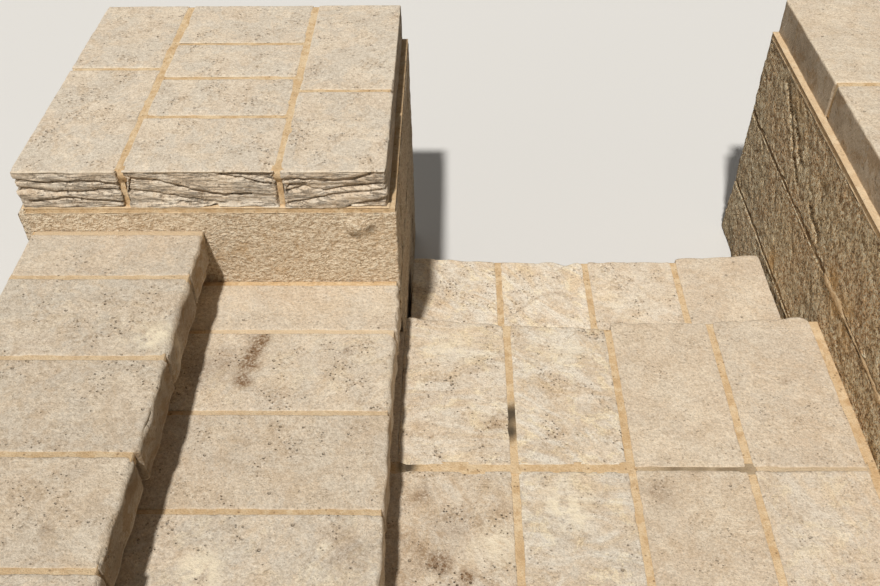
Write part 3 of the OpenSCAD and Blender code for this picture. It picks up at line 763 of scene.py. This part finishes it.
def heart_stone(name):
    """The rubble inside, which doesn't show."""
    m = Nodes(name)
    broad = m.noise(0.08, 5, 0.65, 0.3)
    lumps = m.cells(0.07)
    m.start((150, 132, 104), (122, 104, 80), m.span(broad, 0.35, 0.65))
    m.tint((100, 86, 66), m.span(lumps, 0.25, 0.6), 0.5)
    return m.finish(m.math("ADD", broad, m.times(lumps, 0.8)), 0.8, 0.008, 0.95)


# How far the chisel strokes lean, in degrees
WALL_LEAN, PIER_LEAN = 47, 8

PALE = limestone("pale_limestone")
BEDDED = limestone("bedded_limestone", bedded=True)
# Each rough stone: two base tones, a dark tone that is also its painted shade, and a pale tone that is also
# its painted highlight
WALL = rough_stone("wall_stone", "X_AXIS", -WALL_LEAN, (255, 224, 174), (250, 205, 150), (105, 72, 43),
                   (255, 242, 210), 0.0075, 1.1, 0.017)
PIER = rough_stone("pier_stone", "Y_AXIS", PIER_LEAN, (238, 217, 187), (228, 205, 174), (186, 159, 126),
                   (244, 228, 201), 0.008, 1.3, 0.011)
LIME_TONES = (222, 195, 156), (208, 176, 133), (188, 154, 112)
LIME = mortar("ochre_mortar", *LIME_TONES)
JOINTS = mortar("joint_mortar", *LIME_TONES, marked=True)
# Darker mortar for the recessed beds of the walls and the pier: painted shade in those joints
LIME_WITH_PAINTED_SHADE = mortar("mortar_with_painted_shade", (160, 130, 92), (124, 98, 66), (92, 72, 48))
HEART = heart_stone("rubble_heart")


def node_material(name):
    """The material of a solid that shows as it is."""
    if "mortar" in name:
        # The beds of the walls and the pier take the mortar with painted shade
        return LIME_WITH_PAINTED_SHADE if "wall" in name or name.startswith("pier") else LIME
    if "core" in name:
        return HEART
    if "course" in name or "riser" in name or "rear" in name:
        return PIER if "pier" in name else WALL
    return PALE


for name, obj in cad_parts.items():
    obj.data.materials.clear()
    obj.data.materials.append(node_material(name))

# Treads and landing. A look is brightness, brownness, veins, pits and greyness, each from 0 to 1

TOP_LOOKS = [(.36, .25, .2, .4, .9), (.32, .3, .4, .7, 1.0), (.28, .5, .2, .6, .7),
             (.29, .5, .15, .5, .6), (.3, .4, .3, .5, .7), (.34, .3, .3, .5, .7)]
MIDDLE_LOOKS = [(.44, .2, .35, .1, .6), (.48, .3, .45, .8, .7), (.37, .5, .15, .6, .6),
                (.42, .3, .5, .5, 1.0), (.34, .4, .2, .4, .6), (.38, .3, .4, .4, .6)]
LANDING_LOOKS = [(.56, .35, .7, .8, .6), (.54, .5, .8, .8, .7), (.46, .3, .1, .2, .35),
                 (.43, .35, .3, .25, .5)]
SECOND_LOOKS = [(.46, .85, .4, 1.0, .6), (.44, .25, .75, .4, .9), (.42, .5, .2, .4, .35),
                (.46, .3, .6, .3, .7)]
THIRD_LOOKS = [(.42, .5, .3, .6, .5), (.44, .4, .4, .5, .6), (.4, .5, .2, .5, .5), (.46, .3, .5, .4, .6)]
LOWER_LOOKS = [(.7, .25, .8, .9, .7), (.72, .3, .8, .7, .6), (.68, .45, .5, .9, .6), (.52, .35, .1, .15, .45)]
TOP_NOSES = (9, 16, 10, 12, 10, 12)
MIDDLE_NOSES = (9, 12, 8, 9, 10, 10)
LOWER_NOSES = (10,) * 4

# Marks are (x, y, radius, strength), dark above 0 and pale below. Splits are cracks, as (x, y) points
TOP_MARKS = [
    (-966, 345, 34, -1.2), (-985, 322, 26, -1.0), (-922, 440, 36, .5), (-928, 385, 24, .5),
    (-1041, -106, 14, .8),
]
MIDDLE_MARKS = [
    (-801, 472, 24, 1.4), (-812, 436, 24, 1.4), (-814, 400, 26, 1.4), (-823, 352, 22, 1.3),
    (-896, 395, 64, .5), (-614, 442, 12, .9), (-572, -41, 52, .5), (-611, -45, 16, -1),
    (-828, -88, 46, -1), (-645, 743, 12, .4),
]
LANDING_MARKS = [
    (-449, 178, 26, .75), (-468, 60, 30, .6), (-406, 16, 24, 1.4), (-357, -10, 18, 1.4), (-441, 36, 26, .6),
    (-380, 104, 52, .34), (-480, 2, 34, .5), (-300, 60, 60, -.5), (41, 178, 42, .5), (-291, 363, 30, .4),
    (-147, 141, 60, -.8), (-390, 600, 50, -.5), (-130, 590, 60, -.4), (378, 493, 12, .8),
]
LOWER_SPLIT = [[(-243, 860), (-201, 887), (-158, 931), (-123, 956), (-87, 955), (-48, 931)]]
LANDING_SPLIT = [[(-478, 335), (-430, 330), (-400, 338)], [(-320, 350), (-291, 363), (-268, 368)]]
LOWER_DENTS = [(-61, 1090, 16, 14)]

# The upright fronts of the two upper treads carry painted shade, stronger on the top one
top = Piece()
nosed_row(top, TREAD_L, TOP_DEPTH, TOP_Z, TOP_CUTS, TOP_WEAR, TOP_ROUND, upper(TOP_X), 8, TOP_LOOKS,
          TOP_NOSES, gap=NARROW, marks=TOP_MARKS, chips=0.6, grime=0.5, keen=0.35)
top.build("top_tread", PALE, ["top_tread_slabs"])

middle = Piece()
nosed_row(middle, TREAD_L, UP_GOING + UNDER, MIDDLE_Z, MIDDLE_CUTS, MIDDLE_WEAR, MIDDLE_ROUND, upper(PIER_X),
          8, MIDDLE_LOOKS, MIDDLE_NOSES, gap=NARROW, marks=MIDDLE_MARKS, chips=0.4, grime=0.3, keen=0.45)
middle.build("middle_tread", PALE, ["middle_tread_slabs"])

LAND_X0, LAND_X1 = PIER_X + 3, WALL_X - STRIP
LAND_L = LAND_X1 - LAND_X0
LAND_UNDER = PIER_X - UNDER
ROWS = [TREAD0 + c * (LANDING_Y - TREAD0) for c in ROW_CUTS]
FRONT_DEPTH = LANDING_Y - ROWS[2] - JOINT / 2
CLOSER = 3.5
land = Piece()
nosed_row(land, LAND_L, FRONT_DEPTH, LANDING_Z, LANDING_CUTS, LANDING_WEAR, LANDING_ROUND,
          lower(LAND_X0, LANDING_Y), 7.5, LANDING_LOOKS, LOWER_NOSES, (0, 0, CLOSER, CLOSER),
          marks=LANDING_MARKS, split=LANDING_SPLIT)
for k, looks in enumerate((THIRD_LOOKS, SECOND_LOOKS)):
    y0 = ROWS[k] + (0 if k == 0 else JOINT / 2)
    for i, a, b in stones(LANDING_CUTS, 0, LAND_L, JOINT):
        if i == 0:
            a = LAND_UNDER - LAND_X0
        y1 = ROWS[k + 1] - JOINT / 2 + (CLOSER if k == 1 and i > 1 else 0)
        worn_slab(land, a, b, y1 - y0, [0, 0], [5, 5], LANDING_Z, 20 + 4 * k + i, lower(LAND_X0, y1), 8, 0,
                  looks[i], marks=LANDING_MARKS)
worn_slab(land, LAND_UNDER - LAND_X0, 4, TREAD1 - ROWS[2] - JOINT / 2, [0, 0], [2, 2], LANDING_Z, 31,
          lower(LAND_X0, TREAD1), 12, 0, chips=0)
land.build("landing", PALE, ["landing_slabs"])

low = Piece()
nosed_row(low, LOW_W - JOINT, LOW_GOING + UNDER, LOWER_Z, LOWER_CUTS, LOWER_WEAR, LOWER_ROUND,
          lower(PIER_X + JOINT / 2, LOWER_Y), 7, LOWER_LOOKS, LOWER_NOSES, split=LOWER_SPLIT,
          dents=LOWER_DENTS)
low.build("lower_tread", PALE, ["lower_tread_slabs"])

# Pier cap

CAP_EDGE = 6
CAP_LOOK = (.54, .1, .3, .7, 1.0)
# The front stones reach this much further into the joints beside them
FRONT_WIDER = 2.5
RIGHT_SEAMS = [
    [(-750, 768), (-712, 771), (-683, 767), (-640, 765), (-596, 769), (-565, 780), (-550, 794)],
    [(-750, 733), (-706, 746), (-660, 737), (-610, 745), (-524, 755)],
    [(-750, 752), (-700, 755)],
    [(-750, 704), (-690, 716), (-640, 727), (-580, 733), (-524, 740)],
    [(-620, 693), (-575, 707), (-524, 722)],
]
MIDDLE_SEAMS = [
    [(-1090, 771), (-1020, 764), (-950, 740), (-880, 728), (-820, 726)],
    [(-1085, 742), (-1000, 720), (-930, 707), (-880, 703)],
    [(-850, 792), (-800, 784), (-762, 778)],
    [(-860, 784), (-800, 775), (-762, 768)],
    [(-880, 782), (-810, 765), (-762, 758)],
    [(-980, 706), (-900, 698)],
]
LEFT_SEAMS = [
    [(-1328, 770), (-1250, 762), (-1180, 768), (-1102, 758)],
    [(-1328, 745), (-1240, 735), (-1102, 742)],
    [(-1300, 715), (-1200, 722), (-1102, 712)],
]
COLUMNS = [
    ("cap_right", CAP_X2 + JOINT / 2, CAP_X3, [0, 0.424, 1], "cap_right_slabs", 41,
     cleft(RIGHT_SEAMS, -0.12)),
    ("cap_middle", CAP_X1 + JOINT / 2, CAP_X2 - JOINT / 2, [0, 0.28, 0.503, 0.722, 1], "cap_middle_slabs", 51,
     cleft(MIDDLE_SEAMS, 0.16)),
    ("cap_left", CAP_X0, CAP_X1 - JOINT / 2, [0, 0.56, 1], "cap_left_slabs", 61, cleft(LEFT_SEAMS, 0.0)),
]
# The cap stones' upright sides carry painted shade, faint on the front stones and stronger behind them
for name, x0, x1, cuts, node, seed, relief in COLUMNS:
    cap = Piece()
    for i, a, b in stones(cuts, PIER_Y, PIER_END, NARROW):
        if i == 0:
            lo = (x0 - (0 if x0 == CAP_X0 else FRONT_WIDER), a, CAP_Z)
            hi = (x1 + (0 if x1 == CAP_X3 else FRONT_WIDER), b, CAP_TOP)
            block(cap, lo, hi, (3.6, 6, 2.4), CAP_EDGE, relief, seed, CAP_LOOK, grime=0.08)
        else:
            block(cap, (x0, a, CAP_Z), (x1, b, CAP_TOP), (9, 9, 14), CAP_EDGE, dressed_side, seed + i,
                  CAP_LOOK, grime=0.4)
    cap.build(name, BEDDED, [node])

# Copings

RIGHT_COPING = [0, 0.19, 0.395, 0.6, 0.812, 1]
NEAR_COPING = [0, 0.26, 0.51, 0.76, 1]
NEAR_COPING_X1 = WALL_X + BACK - JOINT
COPING_EDGE = 7
COPING_LOOK = (.5, .35, .25, .3, .5)

# The right coping's upright sides carry painted shade
coping = Piece()
for i, a, b in stones(RIGHT_COPING, NEAR_OUT, WALL_END, JOINT):
    block(coping, (WALL_X + BACK, a, CAP_Z), (WALL_OUT, b, CAP_TOP), (11, 9, 8), COPING_EDGE, dressed_side,
          71 + i, COPING_LOOK, grime=0.45)
coping.build("right_coping", PALE, ["right_coping_stones"])

coping = Piece()
for i, a, b in stones(NEAR_COPING, END_X, NEAR_COPING_X1, JOINT):
    block(coping, (a, NEAR_OUT, CAP_Z), (b, NEAR_Y - BACK, CAP_TOP), (12, 14, 12), COPING_EDGE, dressed_side,
          81 + i, COPING_LOOK)
coping.build("near_coping", PALE, ["near_coping_stones"])

# Walls. Cracks, hollows and marks are given in y and z

WALL_EDGE = 5
FISSURES = [
    [(1265, 656), (1159, 574), (1040, 498)],
    [(1176, 625), (1100, 580), (1036, 545)],
    [(925, 505), (870, 487), (831, 469)],
]
HOLLOWS = [(889, 578, 26, 7), (1020, 600, 30, 4)]
wall_top = rough(WALL_LEAN, 1.0, FISSURES, HOLLOWS)
wall_plain = rough(WALL_LEAN, 1.0)


def hewn(piece, lo, hi, steps, relief, seed, **more):
    block(piece, lo, hi, steps, WALL_EDGE, relief, seed, ROUGH_LOOK, **more)


def wall_foot(p, n, seed):
    """The lowest course swells out towards the ground beyond the last tread."""
    out = unit((p[:, 1] - LOWER_Y - 20) / 60) * unit(-n[:, 0])
    swell = 13 * unit(1.1 - p[:, 2] / 190) * (0.7 + 0.6 * noise(p, 90, 5))
    return wall_plain(p, n, seed) - out * swell


RIGHT_CUTS = [[0, 0.47, 1], [0, 0.34, 1], [0, 0.44, 1]]
WALL_MARKS = [
    [],
    [(1034, 222, 34, -.8), (640, 432, 40, -.7), (560, 425, 40, -.6)],
    [(686, 462, 34, -.8), (590, 460, 40, -.6), (1150, 668, 60, -.4)],
]
for k, (name, relief) in enumerate((("low", wall_foot), ("middle", wall_plain), ("top", wall_top))):
    course = Piece()
    for i, a, b in stones(RIGHT_CUTS[k], NEAR_OUT, WALL_END, BED):
        hewn(course, (WALL_X, a, BOTS[k]), (WALL_OUT, b, TOPS[k]), (HIDDEN, 6.4, 6.2), relief,
             101 + 10 * k + i, marks=WALL_MARKS[k], plane=(1, 2))
    course.build(f"right_wall_{name}", WALL, [f"right_wall_{name}_course"])

NEAR_CUTS = [[0, 0.36, 0.7, 1], [0, 0.52, 1], [0, 0.3, 0.66, 1]]
for k, name in enumerate(("low", "middle", "top")):
    course = Piece()
    for i, a, b in stones(NEAR_CUTS[k], END_X, WALL_X - BED, BED):
        hewn(course, (a, NEAR_OUT, BOTS[k]), (b, NEAR_Y, TOPS[k]), (11, HIDDEN, 11), wall_plain,
             131 + 10 * k + i)
    course.build(f"near_wall_{name}", WALL, [f"near_wall_{name}_course"])

# Pier

KNOB_X, KNOB_Z = -594, 644
# Painted shadow of the knob: dark marks to its right and below it
KNOB_PAINTED_SHADOW = [(-566, 640, 13, .55), (-600, 624, 15, .45)]
pier_face = rough(PIER_LEAN, 0.75)


def knob(p, n, seed):
    """The front of the top course, with the stub of harder stone that stands out of it."""
    away = np.hypot((p[:, 0] - KNOB_X) / 26, (p[:, 2] - KNOB_Z) / 22)
    out = unit(1.25 - away) * unit(-n[:, 1])
    stub = 9 * np.sqrt(unit(out))
    return pier_face(p, n, seed) * (1 - out) - stub + 3 * noise(p, 9, 3) * (out > 0)


for k, name in enumerate(("low", "middle", "top")):
    course = Piece()
    front_in, side_in = (0, FACE_T + BED) if k % 2 == 0 else (FACE_T + BED, 0)
    for j, y in enumerate((PIER_Y, PIER_END - FACE_T)):
        lo, hi = (PIER_LEFT + front_in, y, BOTS[k]), (PIER_X - front_in, y + FACE_T, TOPS[k])
        seed = 161 + 10 * k + j
        if k == 2 and j == 0:
            hewn(course, lo, hi, (5.5, HIDDEN, 5.5), knob, seed, marks=KNOB_PAINTED_SHADOW, plane=(0, 2))
        else:
            hewn(course, lo, hi, (12, HIDDEN, 12), pier_face, seed)
    for j, x in enumerate((PIER_LEFT, PIER_X - FACE_T)):
        lo, hi = (x, PIER_Y + side_in, BOTS[k]), (x + FACE_T, PIER_END - side_in, TOPS[k])
        hewn(course, lo, hi, (HIDDEN, 12, 12), pier_face, 165 + 10 * k + j)
    course.build(f"pier_{name}", PIER, [f"pier_{name}_course"])

# Risers and the closed rear end

def riser_row(name, node, lo, hi, cuts, axis, seed):
    row = Piece()
    steps = [20, 20, 10]
    steps[axis] = 10
    for i, a, b in stones(cuts, lo[axis], hi[axis], JOINT):
        start, end = list(lo), list(hi)
        start[axis], end[axis] = a, b
        hewn(row, start, end, steps, wall_plain, seed + i)
    row.build(name, PIER, [node])


def flipped(cuts):
    """The cuts of a row that is counted from its other end."""
    return [1 - c for c in cuts[::-1]]


for name, x1, z, cuts, seed in (
    ("top_riser", TOP_X, TOP_Z, TOP_CUTS, 201),
    ("middle_riser", PIER_X, MIDDLE_Z, MIDDLE_CUTS, 211),
):
    riser_row(name, f"{name}_stones", (x1 - UNDER, NEAR_Y, z - RISER),
              (x1 - NOSING, PIER_Y, z - SLAB_T - BED), flipped(cuts), 1, seed)
riser_row("landing_riser", "landing_riser_stones", (PIER_X, PIER_Y - RISER_T, LOWER_Z),
          (WALL_X, PIER_Y, LANDING_Z - SLAB_T - BED), LOWER_CUTS, 0, 221)
riser_row("lower_riser", "lower_riser_stones", (PIER_X, LOWER_Y - UNDER, 0),
          (WALL_X, LOWER_Y - NOSING, LOWER_Z - SLAB_T - BED), LANDING_CUTS, 0, 231)

REAR_CUTS = [[0, 0.31, 0.64, 1], [0, 0.2, 0.52, 0.81, 1], [0, 0.36, 0.69, 1]]
REAR_COURSE = (TOP_Z - SLAB_T - 3 * BED) / 3
rear = Piece()
for k, cuts in enumerate(REAR_CUTS):
    z0 = k * (REAR_COURSE + BED)
    for i, a, b in stones(cuts, NEAR_Y, PIER_Y, BED):
        hewn(rear, (END_X, a, z0), (END_X + REAR_T, b, z0 + REAR_COURSE), (HIDDEN, 12, 12), wall_plain,
             241 + 10 * k + i)
rear.build("rear_wall", WALL, ["rear_wall_stones"])

# Mortar that fills the joints up to just under the faces of the stones

PROUD, FLUSH, LOW, SUNK = 0.8, 1.2, 1.9, 2.3
# How far it reaches down and sideways
DEEP, CAP_DEEP, LAP = 30, 34, 14
SEAM_LOOK = (0.75, 0.6, 0, 0, 0)
TOP_SEAM_LOOKS = [(l, o, 0, 0, 0) for l, o in ((.55, .4), (.5, .35), (.4, .55), (.45, .5), (.5, .5))]
MIDDLE_SEAM_LOOKS = [(l, o, 0, 0, 0) for l, o in ((.7, .1), (.5, .35), (.5, .55), (.5, .5), (.5, .5))]
JOINT_MARKS = [(-257, 395, 30, 1), (-257, 345, 30, 1), (-479, 248, 22, 1)]
seams = Piece()


def bead(p, n, seed):
    """Ragged mortar on a ledge, sloping in from its lower edge to its upper one."""
    side = standing(n, 1.3)
    rise = unit((p[:, 2] - BODY_Z) / (CAP_Z + 4 - BODY_Z))
    return side * (13 * rise + 2.5 * (1 + layers(p, 34, seed + 1)) + 1.5 * (1 + layers(p, 11, seed + 2, 2)))


def smear(p, n, seed):
    """Mortar spread unevenly over the bed below the wall's top course."""
    side = unit(1.2 - np.abs(n[:, 2]))
    off = np.abs(p[:, 2] - BOTS[2] + BED / 2) / 15 + layers(p, (70, 70, 36), seed)
    return side * (13 * np.clip(off - 0.15, 0, 1.4) + 1.5 * (1 + layers(p, 11, seed + 1, 2)))


def uneven(p, n, seed):
    return 0.9 * (1 + layers(p + 9 * seed, 26, seed, 3)) * unit(np.abs(n[:, 2]) + 0.4)


def seam(lo, hi, seed, marks=(), look=SEAM_LOOK):
    block(seams, lo, hi, (8, 8, 30), 1.5, uneven, seed, look, ends=(2, 6), marks=marks)


def row_seams(length, depth, z, cuts, wear, place, seed, short, marks=(), looks=(SEAM_LOOK,) * 9):
    """The mortar across a row of worn slabs. It ends behind their fronts by short."""
    for i, x in enumerate(joints(cuts, 0, length), 1):
        y1 = min(wear[i - 1][1], wear[i][0]) - short
        ends = place(np.array([[x - LAP, -depth, z - DEEP], [x + LAP, y1, z - SUNK]]))
        seam(ends.min(0), ends.max(0), seed + i, marks, looks[i - 1])


def long_seam(x0, x1, y, half, depth, seed, marks=(), look=SEAM_LOOK):
    """Mortar along the landing, between two of its rows."""
    seam((x0, y - half, LANDING_Z - DEEP), (x1, y + half, LANDING_Z - depth), seed, marks, look)


row_seams(TREAD_L, TOP_DEPTH, TOP_Z, TOP_CUTS, TOP_WEAR, upper(TOP_X), 300, 7, looks=TOP_SEAM_LOOKS)
row_seams(TREAD_L, UP_GOING, MIDDLE_Z, MIDDLE_CUTS, MIDDLE_WEAR, upper(PIER_X), 310, 7,
          looks=MIDDLE_SEAM_LOOKS)
row_seams(LAND_L, FRONT_DEPTH, LANDING_Z, LANDING_CUTS, LANDING_WEAR, lower(LAND_X0, LANDING_Y), 320, 9,
          JOINT_MARKS)
row_seams(LOW_W - JOINT, LOW_GOING, LOWER_Z, LOWER_CUTS, LOWER_WEAR, lower(PIER_X + JOINT / 2, LOWER_Y),
          330, 9)
for k in (0, 1):
    for i, x in enumerate(joints(LANDING_CUTS, LAND_X0, LAND_X1), 1):
        seam((x - LAP, ROWS[k], LANDING_Z - DEEP), (x + LAP, ROWS[k + 1], LANDING_Z - SUNK), 340 + 4 * k + i)
_, half_x, last_x = joints(LANDING_CUTS, LAND_X0, LAND_X1)
half_x, last_x = half_x + 9, last_x + LAP
long_seam(PIER_X - 30, LAND_X1 + 4, ROWS[1], 15, FLUSH, 351)
long_seam(PIER_X - 30, half_x, ROWS[2], 17, PROUD, 352, JOINT_MARKS)
long_seam(half_x, last_x, ROWS[2], 15, LOW, 353, [(x, ROWS[2], 70, 0.3) for x in range(60, 280, 60)],
          (.5, .3, 0, 0, 0))
long_seam(last_x, LAND_X1 + 4, ROWS[2], 15, LOW, 354, [(x, ROWS[2], 70, 0.12) for x in range(300, 500, 60)],
          (.6, .1, 0, 0, 0))

# Along the wall, and along the pier beside the two upper treads
seam((LAND_X1 - 6, TREAD0, LANDING_Z - DEEP), (WALL_X + 3, LANDING_Y - 10, LANDING_Z - SUNK), 355)
seam((END_X + 4, PIER_Y - JOINT - 3, TOP_Z - DEEP), (TOP_X - 8, PIER_Y + 2, TOP_Z - SUNK), 356,
     look=(.3, .1, 0, 0, 0))
seam((TOP_X - 30, PIER_Y - JOINT - 3, MIDDLE_Z - DEEP), (PIER_X - 8, PIER_Y + 2, MIDDLE_Z - SUNK), 357)

# In the cap and the right coping
for x in (CAP_X1, CAP_X2):
    seam((x - LAP, PIER_Y + 9, CAP_TOP - CAP_DEEP), (x + LAP, PIER_END - 9, CAP_TOP - FLUSH),
         360 + int(x) % 7)
for _, x0, x1, cuts, _, seed, _ in COLUMNS:
    for y in joints(cuts, PIER_Y, PIER_END):
        seam((x0 + 6, y - LAP, CAP_TOP - CAP_DEEP), (x1 - 6, y + LAP, CAP_TOP - SUNK), 370 + seed)
for y in joints(RIGHT_COPING, NEAR_OUT, WALL_END):
    seam((WALL_X + BACK + 5, y - 13, CAP_Z + 5), (WALL_OUT - 5, y + 13, CAP_TOP - SUNK), 380)

# On the ledges under the coping and the cap, and over the bed of the wall
for lo, hi in (
    ((WALL_X + 1, NEAR_Y, BODY_Z - 2), (WALL_X + BACK + 6, WALL_END - 3, CAP_Z + 5)),
    ((PIER_LEFT + 14, PIER_Y + 1, BODY_Z - 2), (PIER_X - 14, PIER_Y + BACK + 6, CAP_Z + 3)),
):
    block(seams, lo, hi, (8, 8, 4), 2, bead, 400, (0.8, 0.35, 0, 0, 0), ends=(2, 5))
block(seams, (WALL_X - 1, 300, TOPS[1] - 26), (WALL_X + 40, 740, BOTS[2] + 26), (20, 6, 4), 10, smear, 390,
      (0.8, 0.7, 0, 0, 0), ends=(1.5, 4, 7, 10))
seams.build("joint_mortar", JOINTS)

# Floor, light and camera

FLOOR_HALF, FLOOR_Z = 40, -0.001
FILL_COLOR, FILL = (1.0, 0.955, 0.89, 1), 0.10
BACKDROP_COLOR, BACKDROP = (0.72, 0.72, 0.71, 1), 1.0


def floor_material():
    """A floor that looks pale, but throws less light back on the steps than it shows."""
    m = Nodes("floor")
    rays = m.node("ShaderNodeLightPath").outputs
    seen = m.larger(rays["Is Camera Ray"], rays["Is Glossy Ray"])
    m.put(m.bsdf.inputs["Base Color"], m.mix(seen, linear(120, 116, 110), linear(214, 212, 208)))
    m.bsdf.inputs["Roughness"].default_value = 0.9
    return m.mat


def studio():
    """A plain backdrop where the camera sees it, and a weak warm light from all sides."""
    world = bpy.data.worlds.new("studio")
    world.use_nodes = True
    tree = world.node_tree
    fill = tree.nodes["Background"]
    backdrop = tree.nodes.new("ShaderNodeBackground")
    for light, color, strength in ((fill, FILL_COLOR, FILL), (backdrop, BACKDROP_COLOR, BACKDROP)):
        light.inputs[0].default_value = color
        light.inputs[1].default_value = strength
    rays = tree.nodes.new("ShaderNodeLightPath").outputs
    seen = tree.nodes.new("ShaderNodeMath")
    seen.operation = "MAXIMUM"
    choice = tree.nodes.new("ShaderNodeMixShader")
    for start, end in (
        (rays["Is Camera Ray"], seen.inputs[0]),
        (rays["Is Glossy Ray"], seen.inputs[1]),
        (seen.outputs[0], choice.inputs[0]),
        (fill.outputs[0], choice.inputs[1]),
        (backdrop.outputs[0], choice.inputs[2]),
        (choice.outputs[0], tree.nodes["World Output"].inputs[0]),
    ):
        tree.links.new(start, end)
    return world


def lamp(name, source, strength, softness, color=(1, 1, 1)):
    """A distant soft light from the direction source. softness is its width in degrees."""
    light = bpy.data.lights.new(name, "SUN")
    light.energy = strength
    light.angle = math.radians(softness)
    light.color = color
    obj = bpy.data.objects.new(name, light)
    obj.rotation_euler = Vector(source).to_track_quat("Z", "Y").to_euler()
    bpy.context.collection.objects.link(obj)


floor_mesh = bpy.data.meshes.new("floor")
floor_corners = [(x * FLOOR_HALF, y * FLOOR_HALF, FLOOR_Z) for x, y in ((-1, -1), (1, -1), (1, 1), (-1, 1))]
floor_mesh.from_pydata(floor_corners, [], [(0, 1, 2, 3)])
floor = bpy.data.objects.new("floor", floor_mesh)
floor.data.materials.append(floor_material())
bpy.context.collection.objects.link(floor)

bpy.context.scene.world = studio()

# The photograph's light falls by 1 m while it goes 0.14 m to the right and 0.6 m away
lamp("key", (-0.142, -0.6, 1), 3.5, 3, (1.0, 0.98, 0.95))
lamp("back_fill", (-0.1, 1.0, 0.55), 0.35, 60)
lamp("front_fill", (-0.9, -0.9, 0.2), 0.45, 60, (1.0, 0.96, 0.9))

# The photograph's camera: its focal length in pixels, its place in metres and its turns in degrees
FOCAL, PHOTO_W, SENSOR_W = 928.0, 880, 36
EYE = Vector((-0.3818, -0.942, 1.932))
PITCH, YAW, ROLL = (math.radians(v) for v in (42.7708, -1.1638, -0.8038))

camera = bpy.data.cameras.new("camera")
camera.sensor_fit = "HORIZONTAL"
camera.sensor_width = SENSOR_W
camera.lens = FOCAL / PHOTO_W * SENSOR_W
ahead = Vector((math.sin(YAW) * math.cos(PITCH), math.cos(YAW) * math.cos(PITCH), -math.sin(PITCH)))
level = Vector((math.cos(YAW), -math.sin(YAW), 0))
above = level.cross(ahead)
right = level * math.cos(ROLL) + above * math.sin(ROLL)
up = -level * math.sin(ROLL) + above * math.cos(ROLL)
cam = bpy.data.objects.new("camera", camera)
cam.matrix_world = Matrix([(right[i], up[i], -ahead[i], EYE[i]) for i in range(3)] + [(0, 0, 0, 1)])
bpy.context.collection.objects.link(cam)
bpy.context.scene.camera = cam
bpy.context.scene.view_settings.view_transform = "Standard"
